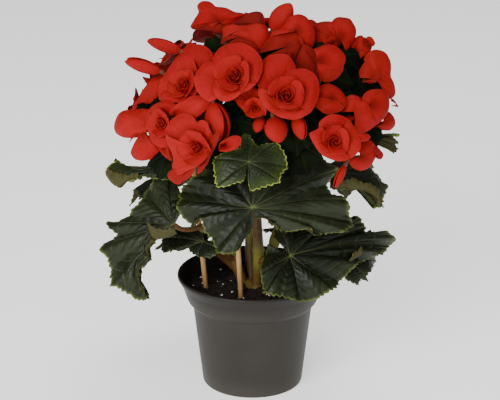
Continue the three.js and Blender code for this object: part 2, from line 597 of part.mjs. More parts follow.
// Blooms: x, y and z of the middle of the face, the azimuth and elevation it faces, its radius,
// how open it is, and how many guard petals it has
const BLOOMS = [
  // front
  [-43, -86, 240, -30, 6, 27, 0.95, 5],
  [-14, -75, 294, -14, 36, 28, 1, 5],
  [26, -82, 280, 8, 38, 28, 1, 5],
  [64, -86, 245, 14, 20, 22.5, 1, 5],
  [2, -76, 270, -4, 6, 18, 0.75, 4],
  // left
  [-54, -56, 281, -34, 40, 26, 1, 5],
  [-95, -37, 239, -44, 10, 26, 1, 5],
  [-71, -64, 253, -40, 14, 22, 0.95, 4],
  [-88, -14, 276, -66, 40, 22, 0.9, 4],
  [-46, -54, 262, -20, 30, 20, 0.9, 4],
  [-98, 22, 240, -104, 8, 22, 1, 4],
  // right
  [64, -46, 297, 24, 34, 18, 0.85, 4],
  [60, -64, 273, 26, 34, 19, 0.9, 4],
  [80, -56, 255, 34, 24, 23, 1, 5],
  [101, -16, 279, 52, 24, 25, 0.9, 5],
  [111, -26, 241, 66, 4, 18, 0.8, 4],
  [92, -56, 225, 50, -14, 19, 0.9, 4],
  [90, 44, 244, 112, 8, 23, 1, 4],
  // top
  [-33, 2, 317, -44, 50, 24, 0.85, 5],
  [-6, -26, 311, -14, 58, 24, 0.9, 4],
  [31, -34, 304, 160, 20, 25, 1, 4],
  [70, -8, 307, 30, 44, 24, 0.95, 5],
  [44, 10, 314, 60, 70, 18, 0.9, 4],
  [94, 0, 302, 60, 52, 12, 0.6, 4],
  [6, 14, 318, 120, 82, 23, 1, 4],
  [-62, 8, 293, -98, 58, 22, 1, 4],
  // back
  [-36, 38, 304, -130, 46, 22, 0.9, 4],
  [2, 54, 303, 170, 48, 24, 1, 4],
  [36, 44, 302, 140, 62, 19, 1, 4],
  [66, 48, 283, 134, 34, 24, 1, 4],
  [-66, 52, 266, -134, 24, 24, 1, 4],
  [-22, 80, 268, -166, 22, 24, 1, 4],
  [36, 82, 258, 160, 18, 24, 1, 4],
].map(([x, y, z, azimuth, elevation, radius, open, guards], k) => ({
  name: `bloom_${String(k + 1).padStart(2, '0')}`,
  face: spot(x, y, z), way: facing(azimuth, elevation), radius, open, guards, seed: k + 1,
}));

// Buds: x, y and z of the root, the azimuth and elevation of the tip, length, width and spin
const BUDS = [
  [-74, -32, 287, -104, 26, 31, 11, 80],
  [-58, -16, 300, -106, 26, 30, 11, 80],
  [16, -16, 317, 92, 56, 27, 19, 0],
  [-29, -76, 274, 60, -66, 31, 21, 20],
  [16, -76, 262, 40, -66, 21, 20, 10],
  [34, -74, 263, 40, -62, 20, 13, 30],
  [7, -70, 260, -30, -50, 13, 10, 0],
  [74, -76, 222, -60, -60, 20, 9, 60],
].map(([x, y, z, azimuth, elevation, length, width, spin], k) => ({
  name: `bud_${k + 1}`, root: spot(x, y, z), way: facing(azimuth, elevation),
  length, width, spin: degrees(spin),
}));

// Main shoots from the crown, and the forks above them from which the flower stalks spread
const SHOOTS = [
  [[2, -6, 78], [5, -11, 118], [4, -13, 150], [2, -18, 186], [2, -20, 222]],
  [[-4, -2, 80], [-16, 4, 112], [-26, 6, 150], [-32, 4, 190], [-36, 2, 226]],
  [[6, 2, 80], [16, 10, 112], [26, 14, 150], [34, 12, 190], [38, 8, 224]],
  [[0, 4, 80], [-2, 18, 112], [-2, 30, 150], [-2, 34, 190], [-4, 32, 232]],
].map((points) => new THREE.CatmullRomCurve3(points.map(([x, y, z]) => spot(x, y, z))));
const FORKS = [
  [1, -70, -30, 258], [1, -42, -34, 250], [0, 0, -38, 256], [0, -4, 4, 280], [2, 40, -36, 250],
  [2, 70, -22, 246], [2, 62, 14, 262], [3, -18, 40, 262], [3, 18, 44, 256], [1, -60, 16, 244],
].map(([shoot, x, y, z]) => ({ shoot: SHOOTS[shoot], at: spot(x, y, z) }));

const nearest = (items, point, place) => items.reduce((best, item) => (
  place(item).distanceTo(point) < place(best).distanceTo(point) ? item : best));

// A stalk that leaves one point and arrives at another along a given direction
function stalk(from, leave, to, arrive) {
  const span = from.distanceTo(to);
  return new THREE.CubicBezierCurve3(
    from, from.clone().addScaledVector(leave, span * 0.35),
    to.clone().addScaledVector(arrive, -Math.min(span * 0.35, 22)), to,
  );
}

function placement(origin, along, turnAbout) {
  const side = Math.abs(along.z) > 0.99 ? spot(1, 0, 0) : spot(0, 0, 1).cross(along).normalize();
  const up = along.clone().cross(side);
  const frame = new THREE.Matrix4().makeBasis(side, up, along).setPosition(origin);
  return frame.multiply(new THREE.Matrix4().makeRotationZ(turnAbout));
}

function leafPlacement(leaf) {
  if (leaf.edge) return new THREE.Matrix4().setPosition(leaf.at);
  const upper = facing(...leaf.faces);
  const downhill = facing(leaf.faces[0], leaf.faces[1] - 90);
  return new THREE.Matrix4().makeBasis(downhill, upper.clone().cross(downhill), upper).setPosition(leaf.at);
}

const bloomRoot = ({ face, way, radius }) => face.clone().addScaledVector(way, -BLOOM_DEPTH * radius);

// The whole branching stem: crown, shoots, leaf stalks, forks and flower stalks in one body
function stemSolid(grow) {
  const bars = [];
  const bar = (curve, [start, end], steps, sides) => {
    bars.push(solidOf(taperedBar(curve, start + grow, end + grow, steps, sides)));
  };
  const flowerStalk = (root, way, radii) => {
    const end = root.clone().addScaledVector(way, -GAP);
    const { at } = nearest(FORKS, end, (fork) => fork.at);
    bar(stalk(at, end.clone().sub(at).normalize(), end, way), radii, 2, 3);
  };
  const low = GAP - SOIL.crownDepth + 0.2;
  const wide = CROWN.radius + grow;
  const crown = turned([[0, low], [wide - 1, low], [wide, -2], [wide - 4, 5], [0, CROWN.height]], 9);
  bars.push(solidOf(crown.translate(CROWN.x, CROWN.y, SOIL.level)));
  for (const shoot of SHOOTS) bar(shoot, STALKS.shoot, 5, 6);
  for (const { shoot, at } of FORKS) {
    const top = shoot.getPoint(FORK_START);
    const arm = stalk(top, shoot.getTangent(FORK_START), at, at.clone().sub(top).normalize());
    bar(arm, STALKS.fork, 2, 4);
    const swelling = new THREE.OctahedronGeometry(FORK_SWELLING + grow);
    bars.push(solidOf(swelling.translate(at.x, at.y, at.z)));
  }
  for (const leaf of Object.values(LEAVES)) {
    const upper = facing(...leaf.faces);
    const end = leaf.at.clone().addScaledVector(upper, -(LEAF.thickness / 2 + GAP));
    const shoot = nearest(SHOOTS, end, (s) => s.getPoint(0.5));
    const start = shoot.getPoint(THREE.MathUtils.clamp((end.z - 110) / 110, 0.12, 0.95));
    const outward = end.clone().sub(start).setZ(0).normalize().add(spot(0, 0, 0.8)).normalize();
    bar(stalk(start, outward, end, leaf.arrive), STALKS.leaf, 3, 4);
  }
  for (const bloom of BLOOMS) flowerStalk(bloomRoot(bloom), bloom.way, STALKS.bloom);
  for (const bud of BUDS) flowerStalk(bud.root, bud.way, STALKS.bud);
  return joined(bars);
}

// Assembly: each piece is made plain and once more with the gap added, and what would cross an
// earlier piece is trimmed back to that gap
const plant = new THREE.Group();
const earlier = [];

function add(name, frame, make, material) {
  let solid = make(0).transform(frame.elements);
  for (const widened of earlier) {
    if (solid.intersect(widened).volume() > 0) solid = solid.subtract(widened);
  }
  solid = biggestBody(solid);
  earlier.push(make(GAP).transform(frame.elements));
  const mesh = new THREE.Mesh(geometryOf(solid).applyMatrix4(frame.clone().invert()), material);
  mesh.name = name;
  frame.decompose(mesh.position, mesh.quaternion, mesh.scale);
  plant.add(mesh);
}

const still = new THREE.Matrix4();
add('pot', still, makePot, POT_PLASTIC);
add('soil', still, () => makeSoil(Object.values(CANES)), PEAT);
for (const [name, cane] of Object.entries(CANES)) {
  add(name, still, (grow) => solidOf(caneBar(cane, grow)), CANE_WOOD);
}
add('stems', still, stemSolid, STEM_FLESH);
for (const [name, leaf] of Object.entries(LEAVES)) {
  const make = leaf.edge ? drawnLeafSolid : leafSolid;
  add(name, leafPlacement(leaf), (grow) => make(leaf, grow), LEAF_GREEN);
}
for (const bloom of BLOOMS) {
  const frame = placement(bloomRoot(bloom), bloom.way, 0);
  add(bloom.name, frame, (grow) => bloomSolid(bloom, grow), PETAL_RED);
}
for (const bud of BUDS) {
  const frame = placement(bud.root, bud.way, bud.spin);
  add(bud.name, frame, (grow) => budSolid(bud, grow), PETAL_RED);
}

export default plant;
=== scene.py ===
"""The looks of a potted elatior begonia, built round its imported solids.

Shapes are worked out in millimetres, +Z up and -Y to the front, and handed over in metres.
"""

import math

import bpy
import numpy as np
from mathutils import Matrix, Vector


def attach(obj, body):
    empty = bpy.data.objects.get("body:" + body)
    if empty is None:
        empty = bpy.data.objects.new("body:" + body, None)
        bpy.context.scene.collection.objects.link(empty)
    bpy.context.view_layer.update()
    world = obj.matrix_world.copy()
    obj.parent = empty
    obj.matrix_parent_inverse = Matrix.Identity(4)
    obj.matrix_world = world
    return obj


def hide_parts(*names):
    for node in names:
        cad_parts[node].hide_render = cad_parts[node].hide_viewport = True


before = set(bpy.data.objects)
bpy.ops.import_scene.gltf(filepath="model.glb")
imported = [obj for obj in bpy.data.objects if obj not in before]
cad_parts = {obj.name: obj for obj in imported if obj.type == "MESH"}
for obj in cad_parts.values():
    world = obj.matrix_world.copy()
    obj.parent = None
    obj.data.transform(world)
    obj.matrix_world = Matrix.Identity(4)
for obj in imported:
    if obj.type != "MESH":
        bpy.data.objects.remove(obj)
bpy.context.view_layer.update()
MM = 0.001

# ---------------------------------------------------------------- numbers shared with the solids
GAP = 0.3
POT = {
    "rim": 65, "height": 100, "wall": 1.6, "foot": 43.5, "shoulder": (51.8, 73), "band": (56.3, 77),
    "lip": (60.8, 90.5), "pad": 27, "channel": 38, "channel_height": 3, "floor": 3,
    "notches": 4, "notch_width": 14, "notch_depth": 12, "notch_height": 4.5, "notch_turn": -5,
    "drain": 3.6,
}
SOIL_LEVEL = 87
CROWN = (2, -4)
CANES = {
    "cane_left": ((-36, -6, 40), (-54, 4, 236)),
    "cane_front": ((-7, -30, 40), (-18, -14, 232)),
}
SHOOTS = [
    ((2, -6, 78), (5, -11, 118), (4, -13, 150), (2, -18, 186), (2, -20, 222)),
    ((-4, -2, 80), (-16, 4, 112), (-26, 6, 150), (-32, 4, 190), (-36, 2, 226)),
    ((6, 2, 80), (16, 10, 112), (26, 14, 150), (34, 12, 190), (38, 8, 224)),
    ((0, 4, 80), (-2, 18, 112), (-2, 30, 150), (-2, 34, 190), (-4, 32, 232)),
]
# the shoot each fork grows on, and its place
FORKS = [
    (1, (-70, -30, 258)), (1, (-42, -34, 250)), (0, (0, -38, 256)), (0, (-4, 4, 280)),
    (2, (40, -36, 250)), (2, (70, -22, 246)), (2, (62, 14, 262)), (3, (-18, 40, 262)),
    (3, (18, 44, 256)), (1, (-60, 16, 244)),
]
FORK_START = 0.94  # how far up its shoot a fork leaves it
LEAF_THICKNESS = 0.8
LOBES = ((-128, 0.66), (-84, 0.9), (-40, 0.93), (0, 1), (42, 0.9), (86, 0.86), (130, 0.62))
VALLEY = 0.16  # depth of the bays between lobes, as a share of the reach
SINUS_REACH = 0.13  # reach where the margin meets the stalk
TOOTH = 4.2
BLOOM_DEPTH = 0.38  # from the face of a bloom back to its root, as a share of the radius
BELLY = 0.56  # where along a petal it is widest
GUARD_LAYER = 0.06
GUARD_COUNT, MIDDLE_COUNT = 4, 3

# ---------------------------------------------------------------- numbers of the finer shapes
POT_SIDES, POT_CORNER = 144, 0.9
SOIL_SIDES, SOIL_RINGS, SOIL_ROUGHNESS = 132, 46, 0.32
CRUMBS, FIBRES, GRAINS = 330, 60, 34
GATHERED_GRAINS = 21  # grains that lie at the left and in front; the rest lie anywhere
SHOOT_STEPS = 60
JOINTS = (0.3, 0.62)  # where a shoot is swollen
CROWN_PROFILE = [(0, -15.8), (13, -15.5), (14.6, -8), (14.8, -2), (12.4, 1.5), (10.5, 3.6), (7, 6.6),
                 (3, 8.4), (0, 8.8)]
FORK_SWELLING = 3.096
# radii in mm, at the start and at the end
CANE_RADII, SHOOT_RADII, FORK_RADII, LEAF_STALK_RADII = (2.3, 2.0), (5.0, 3.0), (2.7, 2.1), (2.9, 1.9)
BLOOM_STALK_RADII, BUD_STALK_RADII = (1.8, 1.45), (1.5, 1.25)
STALK_TIP = 2.3  # how far under its blade the line of a stalk ends; its round end reaches on from there
SHOOT, LEAF_STALK, FORK, FLOWER_STALK = 0.0, 0.8, 1.4, 2.0  # kinds of stem, from brown green to red
TEETH = (1.9, 0.8)  # height of the teeth and of the finer ones on them
CHEVRONS, CHEVRON_SLANT = 6, 1.6  # side veins from stalk to margin, and how far they slant
SWELLING, QUILT = 1.9, 0.3  # rise between main veins and between side veins
WAVE, WAVE_HEIGHT = 36, 0.045  # length in mm, and height as a share of the leaf's size
RIPPLE, RIPPLE_HEIGHT = 11, 0.013
# the grids of the leaves: mm between points of the margin, and points from the stalk to the margin
BACK_GRID, LARGE_GRID, SMALL_GRID, INNER_GRID = (1.9, 20), (1.3, 32), (1.1, 24), (3.0, 9)
LARGE_LEAF = 60  # mm from the stalk to the farthest point of the margin
LEAST_TURN = 0.004  # between neighbouring rays of a leaf, in radians
PAINTED_SHEEN_REACH = 34.0  # half the width over which the painted sheen changes
PETAL_HALF, FURLED_HALF, BUD_HALF = 0.38, 0.32, 0.3  # half the thickness of a petal
PETAL_EDGE, FURLED_EDGE = 0.45, 0.5  # what is left of it at the edge
GUARD_GRID, OUTER_GRID, MIDDLE_GRID = 17, 15, 13  # points along a petal and across it
FURLED_ARC = math.radians(86)  # half the turn that a furled petal takes round the heart
DRAWN_RISE, DRAWN_STEP = 0.34, 0.05  # of the drawn petals above their plane: the first, and each more
# rings of furled petals in the heart: radius and top as shares of the bloom's radius, flare, petals
HEART = ((0.29, 0.56, 0.4, 3), (0.22, 0.6, 0.25, 3), (0.155, 0.61, 0.14, 3), (0.095, 0.6, 0.06, 3),
         (0.05, 0.58, 0.03, 2))
FLOOR = [(-6, -4, 0), (6, -4, 0), (6, 8, 0), (-6, 8, 0)]
SKY_STRENGTH = 0.16
# place, size and power
LAMPS = {"key": ((-0.9, -1.8, 1.05), 1.4, 66), "fill": ((1.4, -1.4, 0.8), 1.2, 7),
         "top": ((0.4, 0.3, 1.9), 1.0, 16)}
LAMP_TARGET = (0, 0, 0.2)
CAMERA_PLACE = (-0.0021, -1.38508, 0.65210)
CAMERA_TILT = math.radians(19.35)
FOCAL_PIXELS, PHOTO_WIDTH = 1724, 500

# ---------------------------------------------------------------- the leaves, flowers and buds
# The leaves that show from the front, drawn point by point. at: where the stalk joins; faces:
# azimuth and elevation of the upper side there; youth: how much light green the blade shows;
# pale: how much painted sheen, a paler grey green standing in for the gloss of the light,
# the blade shows at its left and at its right; arrive: the way the stalk ends, where that isn't
# the way the leaf faces; edge: x, y and z of the margin, and 1 where a main vein ends
DRAWN_LEAVES = {
    "leaf_centre_big": dict(at=(0, -66, 182), faces=(0, 32), youth=0.12, pale=(0.0, 1.0), edge=(
        (3, -71, 174, 0), (10, -70, 174, 0), (17, -71, 170, 0), (25, -72, 164, 0), (43, -67, 163, 0),
        (51, -65, 158, 0), (62, -59, 157, 0), (75, -51, 157, 0), (86, -40, 159, 1), (81, -40, 167, 0),
        (75, -37, 179, 1), (69, -37, 184, 0), (64, -36, 190, 0), (69, -22, 199, 1), (59, -16, 210, 0),
        (47, -13, 218, 1), (23, -25, 219, 0), (1, -19, 225, 1), (-13, -31, 216, 0), (-32, -30, 213, 1),
        (-37, -39, 204, 0), (-62, -40, 187, 0), (-59, -47, 181, 1), (-60, -49, 177, 0), (-57, -55, 170, 0),
        (-50, -62, 165, 1), (-42, -62, 172, 0), (-38, -69, 162, 0), (-33, -73, 154, 0), (-30, -76, 148, 1),
        (-21, -78, 147, 0), (-13, -79, 149, 0), (-9, -78, 155, 0), (-4, -76, 160, 0), (0, -74, 167, 0),
    )),
    "leaf_centre_small": dict(at=(-3, -80, 226), faces=(4, 36), youth=1, edge=(
        (-4, -86, 216, 0), (-3, -89, 210, 0), (-2, -91, 205, 1), (8, -88, 207, 0), (21, -83, 210, 1),
        (22, -80, 214, 0), (29, -73, 219, 1), (25, -68, 229, 0), (19, -64, 236, 1), (12, -66, 237, 0),
        (3, -69, 237, 0), (1, -68, 239, 0), (-4, -61, 244, 1), (-10, -63, 243, 0), (-10, -72, 236, 0),
        (-22, -74, 232, 0), (-31, -75, 226, 1), (-31, -81, 217, 0), (-29, -87, 207, 1), (-21, -88, 208, 0),
        (-13, -88, 211, 0), (-8, -88, 212, 0), (-6, -86, 217, 0),
    )),
    "leaf_right_low": dict(at=(31, -52, 135), faces=(8, 42), youth=0.1, edge=(
        (13, -45, 143, 0), (8, -56, 131, 0), (7, -63, 121, 1), (8, -67, 115, 0), (10, -70, 109, 1),
        (21, -72, 107, 0), (39, -72, 102, 1), (52, -69, 103, 0), (59, -65, 106, 0), (65, -61, 108, 1),
        (73, -55, 110, 0), (76, -52, 114, 0), (89, -36, 122, 0), (100, -24, 122, 0), (110, -12, 123, 0),
        (118, -1, 123, 0), (122, 9, 124, 1), (117, 8, 129, 0), (106, 3, 137, 0), (97, -3, 140, 0),
        (89, -3, 147, 0), (73, -9, 153, 1), (57, -21, 154, 0), (41, -19, 159, 1), (30, -27, 156, 0),
        (20, -28, 156, 1), (18, -39, 149, 0),
    )),
    "leaf_left_big": dict(at=(-65, -46, 160), faces=(-24, 35), youth=0.1, pale=(0.85, 0.6),
                          arrive=(-0.57, -0.48, 0.66), edge=(
        (-63, -44, 163, 0), (-57, -37, 175, 1), (-62, -25, 185, 0), (-70, -13, 191, 1), (-81, -10, 188, 0),
        (-92, -14, 178, 1), (-91, -19, 173, 0), (-101, -21, 163, 0), (-122, -15, 149, 1),
        (-119, -20, 147, 0), (-115, -26, 144, 0), (-124, -23, 136, 0), (-128, -24, 130, 1),
        (-122, -32, 126, 0), (-121, -39, 114, 0), (-117, -46, 106, 1), (-111, -51, 106, 0),
        (-105, -56, 103, 0), (-98, -62, 100, 0), (-86, -67, 102, 1), (-91, -62, 110, 0), (-94, -58, 115, 0),
        (-93, -54, 125, 0), (-89, -55, 126, 0), (-85, -54, 133, 1), (-87, -50, 138, 0), (-84, -48, 144, 0),
        (-82, -47, 147, 0), (-75, -49, 149, 0), (-64, -51, 153, 0),
    )),
    "leaf_left_folded": dict(at=(-68, -24, 201), faces=(-20, 48), youth=0.6, edge=(
        (-67, -17, 206, 0), (-79, -8, 210, 1), (-87, -11, 205, 0), (-89, -13, 202, 0), (-94, -16, 198, 0),
        (-106, -8, 199, 0), (-116, 0, 200, 1), (-121, 0, 197, 1), (-122, -7, 191, 0), (-117, -17, 186, 0),
        (-111, -22, 185, 1), (-104, -20, 190, 0), (-95, -21, 193, 0), (-81, -26, 194, 0),
        (-68, -32, 194, 1),
    )),
    "leaf_left_low": dict(at=(-42, -24, 137), faces=(-24, 40), youth=0.1, edge=(
        (-42, -19, 143, 0), (-51, -11, 145, 0), (-65, -5, 141, 1), (-78, -2, 132, 1), (-78, -11, 124, 0),
        (-74, -15, 123, 1), (-69, -17, 127, 0), (-63, -21, 127, 0), (-55, -23, 131, 1), (-53, -26, 129, 0),
        (-45, -32, 126, 1), (-34, -36, 127, 0), (-28, -33, 133, 1), (-33, -26, 139, 0),
    )),
    "leaf_right_mid": dict(at=(70, -14, 195), faces=(28, 46), youth=0.25, edge=(
        (65, -21, 191, 0), (66, -26, 185, 0), (72, -25, 183, 1), (88, -16, 180, 0), (100, -9, 173, 0),
        (106, -8, 165, 0), (104, -12, 163, 1), (113, -1, 160, 1), (111, 2, 167, 0), (114, 13, 173, 1),
        (110, 16, 181, 0), (105, 19, 188, 1), (95, 16, 196, 0), (85, 13, 203, 1), (74, 0, 203, 0),
        (65, -9, 201, 1),
    )),
    "leaf_right_far": dict(at=(82, -34, 122), faces=(40, 42), youth=0.2, edge=(
        (77, -42, 118, 0), (77, -47, 112, 1), (84, -45, 107, 0), (89, -43, 105, 1), (92, -37, 108, 0),
        (98, -33, 104, 1), (96, -33, 109, 0), (99, -27, 111, 0), (107, -5, 112, 1), (104, -3, 117, 0),
        (104, 6, 118, 0), (96, -2, 126, 1), (84, -20, 130, 0), (77, -32, 127, 0),
    )),
    "leaf_right_high": dict(at=(97, -6, 223), faces=(36, 50), youth=0.8, edge=(
        (95, -1, 227, 0), (101, 5, 227, 1), (109, 9, 225, 0), (109, 7, 223, 0), (118, 14, 219, 0),
        (124, 21, 217, 1), (119, 13, 218, 0), (122, 8, 214, 1), (120, 6, 213, 0), (124, 5, 210, 1),
        (121, -1, 209, 1), (111, -6, 214, 0), (102, -9, 218, 1), (96, -11, 219, 0),
    )),
}
# Parts of a margin that are folded up: the fold, then the free edge
FLAPS = {
    "leaf_left_big": (
        ((-82, -47, 147), (-75, -49, 149), (-67, -51, 152), (-62, -52, 155)),
        ((-88, -41, 162), (-81, -47, 158), (-73, -51, 158), (-65, -53, 161)),
    ),
    "leaf_right_mid": (
        ((70, -25, 184), (80, -21, 183), (88, -17, 181), (95, -12, 177), (100, -10, 174), (105, -9, 167),
         (105, -11, 163)),
        ((67, -29, 190), (77, -23, 191), (84, -18, 192), (92, -16, 187), (100, -10, 184), (107, -6, 177),
         (111, -9, 167)),
    ),
    "leaf_left_folded": (
        ((-123, -8, 190), (-117, -17, 186), (-111, -22, 185), (-104, -21, 190), (-95, -21, 193)),
        ((-121, -10, 198), (-117, -15, 196), (-110, -19, 196), (-103, -23, 196), (-95, -24, 198)),
    ),
    "leaf_right_low": (
        ((79, -44, 121), (84, -37, 125), (91, -30, 127)),
        ((81, -44, 129), (86, -37, 132), (92, -29, 134)),
    ),
}

# The other leaves share one pattern of lobes. turn: the midrib from straight downhill; droop and
# curl: how far the blade bends down along the midrib and across it, in degrees
LOBED_LEAVES = {
    "leaf_back_left": dict(at=(-58, 56, 176), faces=(-136, 72), turn=0, size=68, droop=60, curl=30),
    "leaf_back": dict(at=(-4, 72, 152), faces=(184, 70), turn=0, size=74, droop=60, curl=34),
    "leaf_back_right": dict(at=(58, 58, 182), faces=(138, 72), turn=0, size=64, droop=60, curl=30,
                            youth=0.3),
    "leaf_back_low": dict(at=(38, 50, 118), faces=(140, 76), turn=0, size=46, droop=30, curl=30),
    "leaf_back_low_left": dict(at=(-44, 46, 122), faces=(-130, 76), turn=0, size=50, droop=34, curl=30),
}
LEAVES = {**DRAWN_LEAVES, **LOBED_LEAVES}
# x, y and z of the stalk's end, azimuth and elevation of the upper side, size
INNER_LEAVES = [
    (50, -58, 254, 0, 34, 18), (74, -40, 264, 5, 34, 18), (-22, -58, 224, -10, 34, 17),
    (90, -2, 290, 10, 34, 12), (-25, -50, 263, -10, 34, 24), (11, -52, 245, 0, 38, 24),
    (31, -50, 246, 10, 38, 22), (51, -52, 257, 5, 34, 26), (79, -12, 290, 20, 34, 20),
    (57, -24, 301, 0, 34, 18), (-85, -36, 255, -25, 34, 18), (105, -8, 267, 20, 34, 14),
    (-65, -40, 262, -20, 34, 22), (-68, -50, 224, -20, 34, 22), (-13, -60, 255, 0, 34, 22),
    (71, -14, 296, 0, 34, 20), (-19, -52, 233, -10, 38, 26), (11, -50, 229, 5, 38, 24),
    (35, -48, 231, 10, 38, 27), (50, -50, 251, 5, 34, 22), (85, -8, 278, 20, 34, 21),
    (96, -10, 263, 30, 34, 20), (63, -30, 284, 0, 30, 22), (14, -8, 299, 0, 34, 24),
    (-33, 0, 304, -10, 34, 9), (-45, -34, 270, -20, 34, 24), (-65, -30, 259, -20, 34, 20),
    (-84, -26, 250, -30, 34, 16), (-66, -44, 225, -20, 34, 20), (-31, -44, 251, -10, 34, 25),
    (-73, -12, 273, -20, 34, 17), (72, -42, 258, 10, 34, 22), (95, -36, 240, 20, 34, 17),
    (-2, -36, 270, 0, 34, 26), (40, -30, 284, 0, 34, 26), (-11, -56, 251, 0, 34, 20),
    (99, -2, 277, 10, 34, 13),
]

# x, y and z of the face, the azimuth and elevation it faces, radius, openness
BLOOMS = [
    (-43, -86, 240, -30, 6, 27, 0.95), (-14, -75, 294, -14, 36, 28, 1), (26, -82, 280, 8, 38, 28, 1),
    (64, -86, 245, 14, 20, 22.5, 1), (2, -76, 270, -4, 6, 18, 0.75), (-54, -56, 281, -34, 40, 26, 1),
    (-95, -37, 239, -44, 10, 26, 1), (-71, -64, 253, -40, 14, 22, 0.95), (-88, -14, 276, -66, 40, 22, 0.9),
    (-46, -54, 262, -20, 30, 20, 0.9), (-98, 22, 240, -104, 8, 22, 1), (64, -46, 297, 24, 34, 18, 0.85),
    (60, -64, 273, 26, 34, 19, 0.9), (80, -56, 255, 34, 24, 23, 1), (101, -16, 279, 52, 24, 25, 0.9),
    (111, -26, 241, 66, 4, 18, 0.8), (92, -56, 225, 50, -14, 19, 0.9), (90, 44, 244, 112, 8, 23, 1),
    (-33, 2, 317, -44, 50, 24, 0.85), (-6, -26, 311, -14, 58, 24, 0.9), (31, -34, 304, 160, 20, 25, 1),
    (70, -8, 307, 30, 44, 24, 0.95), (44, 10, 314, 60, 70, 18, 0.9), (94, 0, 302, 60, 52, 12, 0.6),
    (6, 14, 318, 120, 82, 23, 1), (-62, 8, 293, -98, 58, 22, 1), (-36, 38, 304, -130, 46, 22, 0.9),
    (2, 54, 303, 170, 48, 24, 1), (36, 44, 302, 140, 62, 19, 1), (66, 48, 283, 134, 34, 24, 1),
    (-66, 52, 266, -134, 24, 24, 1), (-22, 80, 268, -166, 22, 24, 1), (36, 82, 258, 160, 18, 24, 1),
]

# The guard petals of a bloom in front that isn't drawn petal by petal, from the back one to the
# foremost: the turn in degrees, and the length and half width as shares of the bloom's radius
GUARDS = {10: [(172, 0.9, 0.6), (51, 0.9, 0.7), (-80, 0.7, 0.66)]}
